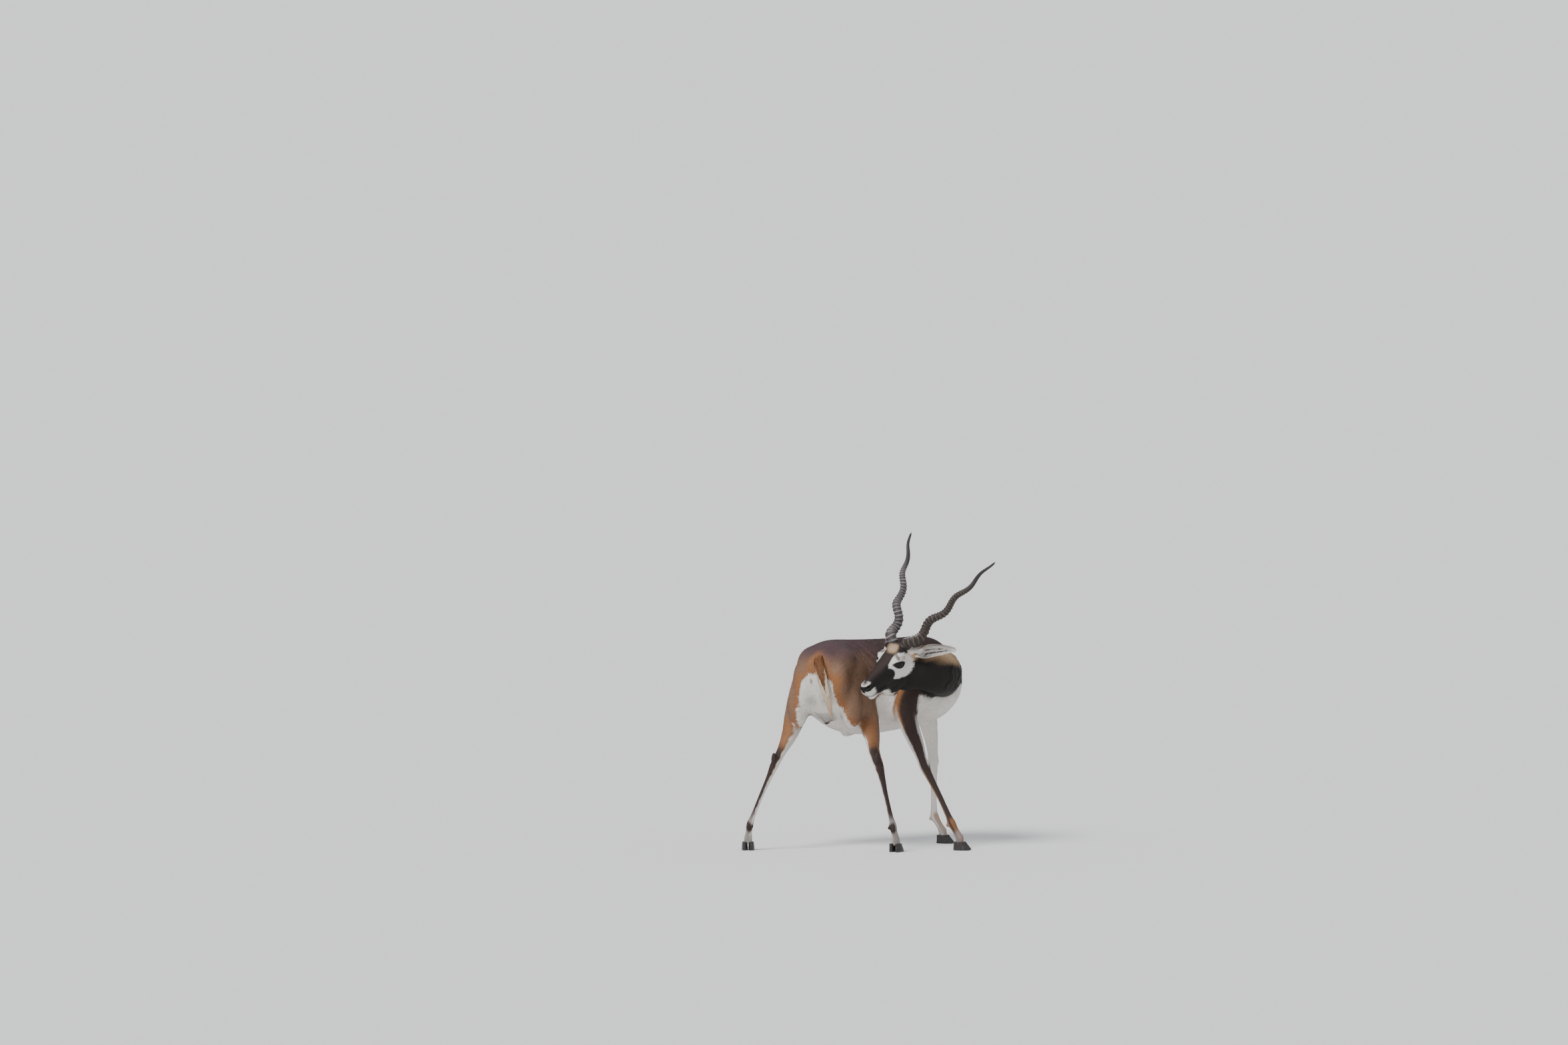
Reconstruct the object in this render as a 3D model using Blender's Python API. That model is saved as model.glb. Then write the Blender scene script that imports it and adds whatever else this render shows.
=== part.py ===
"""A blackbuck buck, life size, standing and looking back over its right side.

Every sub-part is one closed solid in metres, +Z up, with the origin on the floor under the
middle of the whole animal. The pose is laid out in a frame of its own: X to the right of a
viewer behind the animal, Y away from that viewer, Z up, from the floor under the tail's root.
"""

import math

import bmesh
import bpy
import numpy as np

# Width of the thin cuts and fits between the solids
GAP = 0.0003

# The trunk's middle line turns from the pelvis's heading to the chest's, in degrees clockwise
# from +Y, between two distances from the tail's root
PELVIS_HEADING = 18.0
CHEST_HEADING = 110.0
TURN_START, TURN_END = 0.11, 0.52
TRUNK_END = 0.66
# Distance from the tail's root, top of the back, underside, half width, height of the widest part
TRUNK = (
    (-0.020, 0.640, 0.560, 0.030, 0.600),
    (0.005, 0.668, 0.500, 0.068, 0.590),
    (0.050, 0.686, 0.455, 0.092, 0.580),
    (0.110, 0.697, 0.425, 0.104, 0.560),
    (0.180, 0.697, 0.392, 0.106, 0.545),
    (0.260, 0.692, 0.372, 0.116, 0.525),
    (0.340, 0.690, 0.371, 0.121, 0.520),
    (0.420, 0.694, 0.382, 0.114, 0.525),
    (0.490, 0.700, 0.398, 0.100, 0.530),
    (0.550, 0.692, 0.414, 0.085, 0.535),
    (0.605, 0.650, 0.452, 0.065, 0.545),
    (0.640, 0.600, 0.500, 0.040, 0.550),
)

# The neck bends from the chest round to the back of the skull: guide points, then its half
# width and its half depth from nape to throat, from the chest to the skull
NECK_GUIDES = ((0.335, 0.265, 0.570), (0.443, 0.225, 0.583), (0.450, 0.045, 0.575), (0.292, 0.050, 0.618))
NECK_HALF_WIDTHS = (0.062, 0.066, 0.064, 0.057, 0.050)
NECK_HALF_DEPTHS = (0.105, 0.088, 0.076, 0.073, 0.066)
# The neck's own node starts at a share of the bend; the room taken round it grows to the throat
NECK_CUT = 0.47
NECK_REGION_END = 1.10
NECK_ROOM = (0.034, 0.034)

# The head's own frame: the midpoint of the eyes, and where the nose points
EYES_MIDDLE = (0.2405, 0.0, 0.627)
HEAD_HEADING, HEAD_PITCH, HEAD_ROLL = 233.3, -35.0, 17.3
# Along the nose from the eyes, top, underside, half width, height of the widest part
HEAD = (
    (0.1440, 0.0080, -0.0150, 0.0110, -0.0030),
    (0.1380, 0.0145, -0.0320, 0.0185, -0.0070),
    (0.1260, 0.0190, -0.0480, 0.0235, -0.0110),
    (0.1060, 0.0220, -0.0550, 0.0255, -0.0130),
    (0.0800, 0.0270, -0.0640, 0.0270, -0.0120),
    (0.0500, 0.0320, -0.0750, 0.0325, -0.0070),
    (0.0220, 0.0375, -0.0870, 0.0415, 0.0000),
    (0.0000, 0.0420, -0.0950, 0.0465, 0.0050),
    (-0.0250, 0.0460, -0.0990, 0.0490, 0.0060),
    (-0.0500, 0.0480, -0.0970, 0.0475, 0.0040),
    (-0.0720, 0.0430, -0.0820, 0.0420, 0.0000),
    (-0.0900, 0.0330, -0.0680, 0.0330, -0.0060),
    (-0.1020, 0.0140, -0.0400, 0.0200, -0.0120),
)
# The head's node starts at the nape, and its region is larger than the table by some room
NAPE_CUT = -0.083
HEAD_ROOM = 0.016
# The rows of the head that the body's own skin also covers, under the cut
HEAD_BACK = 7
EYE_RADIUS = 0.0190
EYE_PLACE = (0.0365, -0.0020, 0.0140)
EYE_AIM = (0.87, 0.38, 0.24)
EYE_OPENING = (0.0180, 0.0112)
EYE_TILT = 22.0
HORN_ROOT = (0.0249, -0.0420, 0.0330)
EAR_ROOT = (0.0470, -0.0660, 0.0140)

# Horns: an open spiral round a straight axis, each with its own length, spread from the
# middle, lean back from the nose's line, and turn at its root
HORN_LENGTHS = {"left": 0.428, "right": 0.416}
HORN_SPREADS = {"left": 23.0, "right": 23.7}
HORN_LEANS = {"left": 26.3, "right": 25.2}
HORN_PHASES = {"left": 203.0, "right": 168.0}
HORN_TURNS = 3.7
HORN_COIL = 0.0105
COIL_ROOT_SHARE = 0.08
HORN_RADII = (0.0190, 0.0118, 0.0030)
HORN_MIDDLE_SHARE = 0.45
HORN_SIDES = 12
HORN_RINGS = 22
TIP_ROWS = 14
RINGED_SHARE = 0.74
RING_HEIGHT = 0.0018
HORN_SOCKET_DEPTH = 0.016
HORN_SOCKET_ROWS = 12

# Ears: share of the length, half angle of the roll, half width, and thickness
EAR_LENGTH = 0.142
EAR_AIMS = {"left": (0.097, -0.092, -0.028), "right": (0.105, -0.060, -0.046)}
EAR_FACE = (0.700, 0.670, 0.220)
EAR_ROLL = (
    (0.00, 160.0, 0.0145, 0.0110),
    (0.10, 150.0, 0.0165, 0.0085),
    (0.22, 116.0, 0.0205, 0.0040),
    (0.38, 84.0, 0.0232, 0.0030),
    (0.60, 66.0, 0.0202, 0.0028),
    (0.84, 50.0, 0.0120, 0.0024),
    (1.00, 35.0, 0.0030, 0.0018),
)
EAR_SOCKET_ROWS = 5

# Tail: points down its middle, half width and half thickness
TAIL = (
    (0.002, 0.012, 0.650, 0.0130, 0.0120),
    (0.002, -0.020, 0.634, 0.0150, 0.0120),
    (0.010, -0.040, 0.592, 0.0175, 0.0100),
    (0.022, -0.046, 0.545, 0.0170, 0.0085),
    (0.034, -0.043, 0.500, 0.0130, 0.0065),
    (0.042, -0.038, 0.462, 0.0040, 0.0030),
)
TAIL_SOCKET_ROWS = 9

# Legs from deep in the body to the coronet: points, half width and half depth
TOE_HEADINGS = {"hind_right": 26.0, "hind_left": 2.0, "fore_right": 104.0, "fore_left": 104.0}
LEGS = {
    "hind_right": (
        (0.078, 0.080, 0.655, 0.0180, 0.0360),
        (0.105, 0.098, 0.590, 0.0480, 0.0740),
        (0.135, 0.130, 0.500, 0.0480, 0.0800),
        (0.155, 0.140, 0.440, 0.0380, 0.0600),
        (0.174, 0.086, 0.385, 0.0240, 0.0420),
        (0.184, 0.041, 0.335, 0.0155, 0.0290),
        (0.200, 0.006, 0.288, 0.0150, 0.0230),
        (0.210, 0.004, 0.250, 0.0115, 0.0165),
        (0.223, 0.006, 0.190, 0.0088, 0.0118),
        (0.239, 0.010, 0.120, 0.0090, 0.0120),
        (0.246, 0.014, 0.090, 0.0130, 0.0155),
        (0.252, 0.028, 0.062, 0.0115, 0.0125),
        (0.257, 0.042, 0.036, 0.0155, 0.0155),
    ),
    "hind_left": (
        (-0.006, 0.115, 0.655, 0.0180, 0.0360),
        (-0.026, 0.140, 0.590, 0.0480, 0.0740),
        (-0.056, 0.165, 0.500, 0.0460, 0.0800),
        (-0.075, 0.175, 0.440, 0.0390, 0.0620),
        (-0.095, 0.129, 0.380, 0.0280, 0.0420),
        (-0.121, 0.088, 0.330, 0.0175, 0.0290),
        (-0.146, 0.062, 0.283, 0.0150, 0.0230),
        (-0.161, 0.064, 0.247, 0.0115, 0.0165),
        (-0.187, 0.068, 0.188, 0.0088, 0.0118),
        (-0.214, 0.073, 0.120, 0.0090, 0.0120),
        (-0.225, 0.077, 0.090, 0.0130, 0.0155),
        (-0.229, 0.092, 0.062, 0.0115, 0.0125),
        (-0.232, 0.107, 0.036, 0.0155, 0.0155),
    ),
    "fore_right": (
        (0.336, 0.225, 0.620, 0.0150, 0.0360),
        (0.318, 0.175, 0.540, 0.0360, 0.0600),
        (0.290, 0.168, 0.470, 0.0360, 0.0460),
        (0.303, 0.162, 0.405, 0.0280, 0.0340),
        (0.325, 0.154, 0.350, 0.0210, 0.0275),
        (0.341, 0.149, 0.305, 0.0165, 0.0195),
        (0.352, 0.146, 0.275, 0.0165, 0.0185),
        (0.366, 0.141, 0.245, 0.0120, 0.0145),
        (0.400, 0.128, 0.180, 0.0092, 0.0112),
        (0.430, 0.116, 0.115, 0.0092, 0.0115),
        (0.441, 0.111, 0.090, 0.0130, 0.0150),
        (0.456, 0.106, 0.062, 0.0115, 0.0122),
        (0.471, 0.102, 0.036, 0.0155, 0.0155),
    ),
    "fore_left": (
        (0.366, 0.312, 0.620, 0.0150, 0.0360),
        (0.370, 0.330, 0.540, 0.0380, 0.0600),
        (0.362, 0.340, 0.470, 0.0360, 0.0460),
        (0.366, 0.342, 0.405, 0.0280, 0.0340),
        (0.376, 0.345, 0.350, 0.0210, 0.0255),
        (0.381, 0.346, 0.305, 0.0165, 0.0190),
        (0.383, 0.347, 0.275, 0.0165, 0.0185),
        (0.384, 0.348, 0.245, 0.0120, 0.0145),
        (0.385, 0.350, 0.180, 0.0090, 0.0110),
        (0.386, 0.352, 0.115, 0.0092, 0.0115),
        (0.388, 0.353, 0.090, 0.0130, 0.0150),
        (0.403, 0.352, 0.062, 0.0115, 0.0122),
        (0.418, 0.350, 0.036, 0.0155, 0.0155),
    ),
}
STIFLE, HOCK, FETLOCK = 3, 6, 10
ELBOW, CARPUS = 2, 6
HOOF_TOP = 0.028
# Where a thigh is parted from the rump, in the pelvis's frame: distance ahead, height, and
# distance from the middle; and the two heights of a foreleg's cut
THIGH_CUTS = {
    "hind_right": (
        (-0.10, 0.480, 0.024),
        (0.10, 0.560, 0.050),
        (0.200, 0.480, 0.095),
        (0.195, 0.395, 0.095),
        (-0.10, 0.300, 0.024),
    ),
    "hind_left": (
        (-0.10, 0.480, 0.024),
        (0.12, 0.565, 0.045),
        (0.240, 0.460, 0.070),
        (0.230, 0.380, 0.070),
        (-0.10, 0.300, 0.024),
    ),
}
THIGH_OUTER = 0.190
FOREARM_CUTS = (0.388, 0.330)

# Hoof claws: height, share of the length, share of the width, and shift forward, per layer
CLAW_LENGTH = 0.056
CLAW_WIDTH = 0.0200
CLAW_SIDES = 14
CLEFT = 0.0018
CLAW_LAYERS = (
    (0.0, 1.00, 1.00, 0.0060),
    (0.005, 0.98, 1.04, 0.0055),
    (HOOF_TOP - GAP, 0.66, 0.86, -0.0030),
)

# Fineness of the flesh
CORE_VOXEL, CORE_SMOOTHING = 0.008, 14
BODY_VOXEL, BODY_SMOOTHING = 0.006, 4
HEAD_VOXEL = 0.0032
BODY_TRIANGLES = 5800
HEAD_TRIANGLES = 2700

# Colours and roughness of the finishes
FINISHES = {
    "dark_coat": ((0.060, 0.038, 0.030), 0.85),
    "brown_coat": ((0.260, 0.130, 0.060), 0.85),
    "pale_coat": ((0.560, 0.490, 0.420), 0.85),
    "horn": ((0.075, 0.060, 0.050), 0.50),
    "hoof": ((0.020, 0.018, 0.017), 0.45),
    "eye": ((0.010, 0.007, 0.005), 0.08),
}


def turned(heading, pitch=0.0, roll=0.0):
    """Right, forward and up directions of a frame, its angles in degrees."""
    around, climb, lean = np.radians([heading, pitch, roll])
    forward = np.array((np.sin(around) * np.cos(climb), np.cos(around) * np.cos(climb), np.sin(climb)))
    level = np.array((np.cos(around), -np.sin(around), 0.0))
    right = level * np.cos(lean) + np.cross(level, forward) * np.sin(lean)
    return np.array((right, forward, np.cross(right, forward)))


HEAD_AXES = turned(HEAD_HEADING, HEAD_PITCH, HEAD_ROLL)
PELVIS_AXES = turned(PELVIS_HEADING)
CHEST_AXES = turned(CHEST_HEADING)
SIDES = {"right": 1, "left": -1}


def units(vectors):
    """Vectors of length one."""
    return vectors / np.linalg.norm(vectors, axis=-1, keepdims=True)


def curve_through(rows, count):
    """Smooth curve through rows of values, read at an even pace."""
    rows = np.asarray(rows, float)
    padded = np.vstack([2 * rows[0] - rows[1], rows, 2 * rows[-1] - rows[-2]])
    pace = np.linspace(0, len(rows) - 1, count)
    first = np.minimum(pace.astype(int), len(rows) - 2)
    t = (pace - first)[:, None]
    a, b, c, d = (padded[first + k] for k in range(4))
    return 0.5 * (2 * b + (c - a) * t + (2 * a - 5 * b + 4 * c - d) * t**2 + (3 * b - a - 3 * c + d) * t**3)


def rings(centres, across, upward, half_widths, rises, drops, sides, fullness=2.0):
    """Rings of points round a path: wide to each side, and of unlike height above and below."""
    angles = np.linspace(0, 2 * np.pi, sides, endpoint=False)
    cosine, sine = np.cos(angles), np.sin(angles)
    aside = np.sign(cosine) * np.abs(cosine) ** (2 / fullness)
    above = np.sign(sine) * np.abs(sine) ** (2 / fullness)
    reach = np.where(above > 0, np.asarray(rises)[:, None], np.asarray(drops)[:, None]) * above
    wide = np.asarray(half_widths)[:, None] * aside
    return centres[:, None] + across[:, None] * wide[..., None] + upward[:, None] * reach[..., None]


def outward(mesh):
    """Turn a closed mesh's faces to the outside."""
    work = bmesh.new()
    work.from_mesh(mesh)
    bmesh.ops.recalc_face_normals(work, faces=work.faces)
    if work.calc_volume(signed=True) < 0:
        bmesh.ops.reverse_faces(work, faces=work.faces)
    work.to_mesh(mesh)
    work.free()
    return mesh


def closed_mesh(grid):
    """A mesh from rings of points, with a cap at each end."""
    count, sides = grid.shape[:2]
    index = np.arange(count * sides).reshape(count, sides)
    step = np.roll(index, -1, axis=1)
    walls = np.stack([index[:-1], step[:-1], step[1:], index[1:]], axis=-1).reshape(-1, 4)
    faces = walls.tolist() + [index[0][::-1].tolist(), index[-1].tolist()]
    mesh = bpy.data.meshes.new("form")
    mesh.from_pydata(grid.reshape(-1, 3).tolist(), [], faces)
    return outward(mesh)


def hull_mesh(points):
    """The smallest convex solid round some points."""
    work = bmesh.new()
    for point in points:
        work.verts.new(point)
    bmesh.ops.convex_hull(work, input=work.verts)
    mesh = bpy.data.meshes.new("region")
    work.to_mesh(mesh)
    work.free()
    return outward(mesh)


def vertices(mesh):
    """A mesh's vertices as an array."""
    points = np.empty(len(mesh.vertices) * 3)
    mesh.vertices.foreach_get("co", points)
    return points.reshape(-1, 3)


def move_vertices(mesh, points):
    """Put a mesh's vertices at the points of an array."""
    mesh.vertices.foreach_set("co", np.ascontiguousarray(points, np.float32).ravel())
    mesh.update()


def round_form(axes, centre, radii, segments=20):
    """An ellipsoid with its radii along a frame's right, forward and up."""
    work = bmesh.new()
    bmesh.ops.create_uvsphere(work, u_segments=segments, v_segments=segments // 2, radius=1.0)
    mesh = bpy.data.meshes.new("form")
    work.to_mesh(mesh)
    work.free()
    move_vertices(mesh, vertices(mesh) * np.asarray(radii) @ axes + np.asarray(centre))
    return outward(mesh)


def applied(mesh, kind, **settings):
    """The mesh that one modifier makes of a mesh."""
    work = bpy.data.objects.new("work", mesh)
    bpy.context.collection.objects.link(work)
    modifier = work.modifiers.new(kind.title(), kind)
    for key, value in settings.items():
        setattr(modifier, key, value)
    graph = bpy.context.evaluated_depsgraph_get()
    result = bpy.data.meshes.new_from_object(work.evaluated_get(graph))
    bpy.data.objects.remove(work)
    return result


def boolean(mesh, cutter, operation):
    """A mesh cut, or kept, by another closed mesh."""
    tool = bpy.data.objects.new("cutter", cutter)
    bpy.context.collection.objects.link(tool)
    result = applied(mesh, "BOOLEAN", object=tool, operation=operation, solver="EXACT")
    bpy.data.objects.remove(tool)
    return result


def joined(pieces):
    """One mesh of many closed forms that pass into each other."""
    work = bmesh.new()
    for piece in pieces:
        work.from_mesh(piece)
    mesh = bpy.data.meshes.new("forms")
    work.to_mesh(mesh)
    work.free()
    return mesh


def surfaces(mesh):
    """A mesh's separate closed surfaces as meshes, the largest first."""
    work = bmesh.new()
    work.from_mesh(mesh)
    left = set(work.faces)
    islands = []
    while left:
        seed = left.pop()
        island, edge = {seed}, [seed]
        while edge:
            face = edge.pop()
            near = {other for side in face.edges for other in side.link_faces} & left
            left -= near
            island |= near
            edge.extend(near)
        islands.append(sorted(face.index for face in island))
    work.free()
    found = []
    for island in sorted(islands, key=len, reverse=True):
        keep = set(island)
        work = bmesh.new()
        work.from_mesh(mesh)
        work.faces.ensure_lookup_table()
        rest = [face for face in work.faces if face.index not in keep]
        bmesh.ops.delete(work, geom=rest, context="FACES")
        piece = bpy.data.meshes.new("piece")
        work.to_mesh(piece)
        work.free()
        found.append(piece)
    return found


def spine(distances):
    """Points on the trunk's middle line on the floor plan, and the headings there in degrees."""
    fine = np.linspace(-0.05, TRUNK_END + 0.05, 400)
    share = np.clip((fine - TURN_START) / (TURN_END - TURN_START), 0, 1)
    smooth = share * share * (3 - 2 * share)
    headings = PELVIS_HEADING + (CHEST_HEADING - PELVIS_HEADING) * (share + smooth) / 2
    pace = np.stack([np.sin(np.radians(headings)), np.cos(np.radians(headings))], axis=1)
    plan = np.cumsum(pace, axis=0) * (fine[1] - fine[0])
    plan -= [np.interp(0, fine, plan[:, k]) for k in range(2)]
    spots = np.stack([np.interp(distances, fine, plan[:, k]) for k in range(2)], axis=-1)
    return spots, np.interp(distances, fine, headings)


def trunk():
    """Rump, belly, ribs and chest as one form along the bent middle line."""
    sizes = curve_through(TRUNK, 46)
    spots, headings = spine(sizes[:, 0])
    angles = np.radians(headings)
    across = np.stack([np.cos(angles), -np.sin(angles), np.zeros_like(angles)], axis=1)
    upward = np.tile((0.0, 0.0, 1.0), (len(sizes), 1))
    centres = np.column_stack([spots, sizes[:, 4]])
    rises, drops = sizes[:, 1] - sizes[:, 4], sizes[:, 4] - sizes[:, 2]
    return closed_mesh(rings(centres, across, upward, sizes[:, 3], rises, drops, 32, fullness=2.15))


def neck_line(shares):
    """Points at shares of the neck's bend from the chest to the skull."""
    t = np.asarray(shares, float)[:, None]
    a, b, c, d = (np.array(guide) for guide in NECK_GUIDES)
    return a * (1 - t) ** 3 + 3 * b * t * (1 - t) ** 2 + 3 * c * t**2 * (1 - t) + d * t**3


def neck(start=0.0, end=1.0, swell=(0.0, 0.0)):
    """The neck, deeper from nape to throat than it is wide, or a larger copy of a length of it."""
    shares = np.linspace(start, end, 26)
    points = neck_line(shares)
    forward = units(np.gradient(points, axis=0))
    across = units(np.cross(forward, (0.0, 0.0, 1.0)))
    upward = np.cross(across, forward)
    stations = np.linspace(0, 1, len(NECK_HALF_WIDTHS))
    extra = np.interp(shares, (start, end), swell)
    wide = np.interp(shares, stations, NECK_HALF_WIDTHS) + extra
    deep = np.interp(shares, stations, NECK_HALF_DEPTHS) + extra
    return closed_mesh(rings(points, across, upward, wide, deep, deep, 24))


def head_place(right, forward, up):
    """A place given in the head's frame, in the frame of the pose."""
    return np.array(EYES_MIDDLE) + np.array((right, forward, up)) @ HEAD_AXES


def head(rows=HEAD):
    """Skull, cheeks and muzzle as one form from the nose to the nape, or some rows of it."""
    sizes = curve_through(rows, 44)
    centres = np.array(EYES_MIDDLE) + np.outer(sizes[:, 0], HEAD_AXES[1]) + np.outer(sizes[:, 4], HEAD_AXES[2])
    across = np.tile(HEAD_AXES[0], (len(sizes), 1))
    upward = np.tile(HEAD_AXES[2], (len(sizes), 1))
    rises, drops = sizes[:, 1] - sizes[:, 4], sizes[:, 4] - sizes[:, 2]
    return closed_mesh(rings(centres, across, upward, sizes[:, 3], rises, drops, 32, fullness=2.1))


def throat():
    """The full throat behind the jaw, where the neck is bent hardest."""
    return round_form(turned(250.0), (0.290, 0.058, 0.582), (0.046, 0.052, 0.054))


def eye_middle(side):
    """The middle of one eye."""
    return head_place(side * EYE_PLACE[0], EYE_PLACE[1], EYE_PLACE[2])


def eye_axes(side):
    """The direction that one eye looks in, and those along and across its opening."""
    mirror = np.array((side, 1.0, 1.0))
    out = units(np.array(EYE_AIM) * mirror)
    ahead = units(np.array((0.0, 1.0, 0.0)) - out * out[1])
    up = units(np.array((0.0, 0.0, 1.0)) - out * out[2] - ahead * ahead[2])
    return np.array((out, ahead, up)) @ HEAD_AXES


def head_forms():
    """Rims round the eyes, cheek muscles, brows, ear bases, lips, chin and the skin of the throat."""
    forms = [round_form(HEAD_AXES, head_place(0.0, 0.018, -0.070), (0.0290, 0.0520, 0.0360))]
    for side in (1, -1):
        forms.append(round_form(HEAD_AXES, eye_middle(side), (0.0220, 0.0275, 0.0240)))
        forms.append(round_form(HEAD_AXES, head_place(side * 0.027, -0.018, -0.055), (0.0200, 0.0450, 0.0350)))
        forms.append(round_form(HEAD_AXES, head_place(side * HORN_ROOT[0], -0.040, 0.032), (0.0235, 0.0250, 0.0220)))
        forms.append(round_form(HEAD_AXES, head_place(side * 0.042, -0.062, 0.014), (0.0200, 0.0200, 0.0200)))
        forms.append(round_form(HEAD_AXES, head_place(side * 0.0125, 0.119, -0.022), (0.0130, 0.0210, 0.0115)))
    forms.append(round_form(HEAD_AXES, head_place(0.0, 0.112, -0.048), (0.0140, 0.0190, 0.0125)))
    return forms


def limb(name, first=0):
    """One leg from deep in the body, or from a lower row, to the coronet."""
    rows = curve_through(LEGS[name][first:], 60)
    points = rows[:, :3]
    tangent = units(np.gradient(points, axis=0))
    ahead = turned(TOE_HEADINGS[name])[1]
    depth = units(ahead - tangent * (tangent @ ahead)[:, None])
    across = np.cross(depth, tangent)
    grid = rings(points, across, depth, rows[:, 3], rows[:, 4], rows[:, 4], 18)
    grid[-1, :, 2] = HOOF_TOP - BODY_VOXEL
    return closed_mesh(grid)


def muscles():
    """Hams, thighs and hips, shoulders and blades, and the throat."""
    forms = [throat()]
    for side, leg in ((1, "hind_right"), (-1, "hind_left")):
        stifle, hock = (np.array(LEGS[leg][k][:3]) for k in (STIFLE, HOCK))
        ham = np.array((side * 0.056, 0.030, 0.560)) @ PELVIS_AXES
        forms.append(round_form(PELVIS_AXES, ham, (0.044, 0.050, 0.088)))
        low_ham = 0.62 * ham + 0.19 * (stifle + hock) + PELVIS_AXES[1] * 0.010
        forms.append(round_form(PELVIS_AXES, low_ham, (0.038, 0.050, 0.084)))
        hip = np.array((side * 0.050, 0.095, 0.612)) @ PELVIS_AXES
        forms.append(round_form(PELVIS_AXES, hip, (0.052, 0.085, 0.068)))
    for side, leg in ((1, "fore_right"), (-1, "fore_left")):
        elbow = np.array(LEGS[leg][ELBOW][:3])
        shoulder = elbow + CHEST_AXES[1] * 0.045 + CHEST_AXES[2] * 0.058 - CHEST_AXES[0] * side * 0.004
        forms.append(round_form(CHEST_AXES, shoulder, (0.030, 0.054, 0.070)))
        blade = elbow + CHEST_AXES[1] * 0.020 + CHEST_AXES[2] * 0.125 - CHEST_AXES[0] * side * 0.022
        forms.append(round_form(CHEST_AXES, blade, (0.028, 0.060, 0.085)))
    return forms


def small_forms():
    """Hocks, knees, dew claws, scrotum and sheath."""
    forms = []
    for leg in ("hind_right", "hind_left"):
        toe = turned(TOE_HEADINGS[leg])
        hock = np.array(LEGS[leg][HOCK][:3])
        forms.append(round_form(toe, hock - toe[1] * 0.014 + toe[2] * 0.022, (0.0100, 0.0120, 0.0260)))
    for leg in ("fore_right", "fore_left"):
        toe = turned(TOE_HEADINGS[leg])
        carpus = np.array(LEGS[leg][CARPUS][:3])
        forms.append(round_form(toe, carpus + toe[1] * 0.002, (0.0160, 0.0185, 0.0240)))
    for leg, rows in LEGS.items():
        toe = turned(TOE_HEADINGS[leg])
        for side in (1, -1):
            spur = np.array(rows[FETLOCK][:3]) - toe[1] * 0.0130 + toe[0] * side * 0.0080 - toe[2] * 0.008
            forms.append(round_form(toe, spur, (0.0055, 0.0060, 0.0085), segments=12))
    forms.append(round_form(PELVIS_AXES, np.array((0.0, 0.090, 0.452)) @ PELVIS_AXES, (0.0205, 0.0220, 0.0370)))
    spot, heading = spine(0.24)
    forms.append(round_form(turned(heading), (*spot, 0.378), (0.010, 0.030, 0.014)))
    return forms


def thinned(skin, triangles):
    """A mesh simplified to about a number of triangles."""
    return applied(skin, "DECIMATE", ratio=triangles / (2 * len(skin.polygons)))


def flesh(pieces, voxel, smoothing):
    """One smooth closed skin over many forms."""
    skin = applied(joined(pieces), "REMESH", mode="VOXEL", voxel_size=voxel)
    skin = surfaces(skin)[0]
    return applied(skin, "SMOOTH", factor=0.5, iterations=smoothing)


def bump_at(points, place, spread, height):
    """Height of a soft bump round a place, at each point; spread holds its three radii."""
    away = (points - np.asarray(place)) / np.asarray(spread)
    return height * np.exp(-(away**2).sum(axis=1))


def shape_head(skin):
    """Draw lids, nostrils, the line of the mouth, lips and gland slits into the head."""
    points = vertices(skin)
    normals = np.empty(len(points) * 3)
    skin.vertices.foreach_get("normal", normals)
    normals = normals.reshape(-1, 3)
    local = (points - np.array(EYES_MIDDLE)) @ HEAD_AXES.T
    local[:, 0] = np.abs(local[:, 0])
    ahead, up = local[:, 1], local[:, 2]
    # the mouth is a groove that falls back from under the nose to its corner
    along = np.clip((ahead - 0.062) / 0.076, 0, 1)
    mouth = -0.0350 + 0.0090 * np.sin(along * np.pi / 2)
    lift = -0.0036 * np.exp(-(((up - mouth) / 0.0026) ** 2)) * (ahead > 0.062) * (ahead < 0.150)
    # each nostril is a comma that opens forward and aside, under a raised rim
    for step in np.linspace(0, 1, 4):
        place = (0.0125 + 0.0050 * step, 0.1330 - 0.0110 * step, -0.0010 + 0.0060 * np.sin(step * 2.2))
        lift -= bump_at(local, place, (0.0060, 0.0034, 0.0034), 0.0034)
    lift += bump_at(local, (0.0140, 0.1290, 0.0110), (0.0070, 0.0090, 0.0050), 0.0014)
    # gland slit before the eye
    lift -= bump_at(local, (0.0360, 0.0380, -0.0040), (0.0200, 0.0100, 0.0050), 0.0034)
    # ridge of bone round the eye, and the lids' own margin
    out, along, over = eye_axes(1) @ HEAD_AXES.T
    beside = local - np.array(EYE_PLACE)
    around = np.hypot(beside @ along / 1.2, beside @ over)
    outside = beside @ out > 0.0
    lift += 0.0014 * np.exp(-(((around - 0.0215) / 0.0045) ** 2)) * outside
    lift += 0.0010 * np.exp(-(((around - 0.0125) / 0.0030) ** 2)) * outside
    move_vertices(skin, points + normals * lift[:, None])


def eye_opening(sign):
    """The almond between the lids, as a solid that reaches out from the middle of the eye."""
    angles = np.linspace(0, 2 * np.pi, 20, endpoint=False)
    long, high = EYE_OPENING
    ahead = long * np.cos(angles)
    up = high * np.sign(np.sin(angles)) * np.abs(np.sin(angles)) ** 1.3
    tilt = math.radians(EYE_TILT)
    turned_ahead = ahead * math.cos(tilt) - up * math.sin(tilt)
    turned_up = ahead * math.sin(tilt) + up * math.cos(tilt)
    layers = []
    for out, share in ((0.008, 0.9), (0.030, 1.15)):
        local = np.column_stack([np.full(20, out), turned_ahead * share, turned_up * share])
        layers.append(eye_middle(sign) + local @ eye_axes(sign))
    return closed_mesh(np.array(layers))


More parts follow.
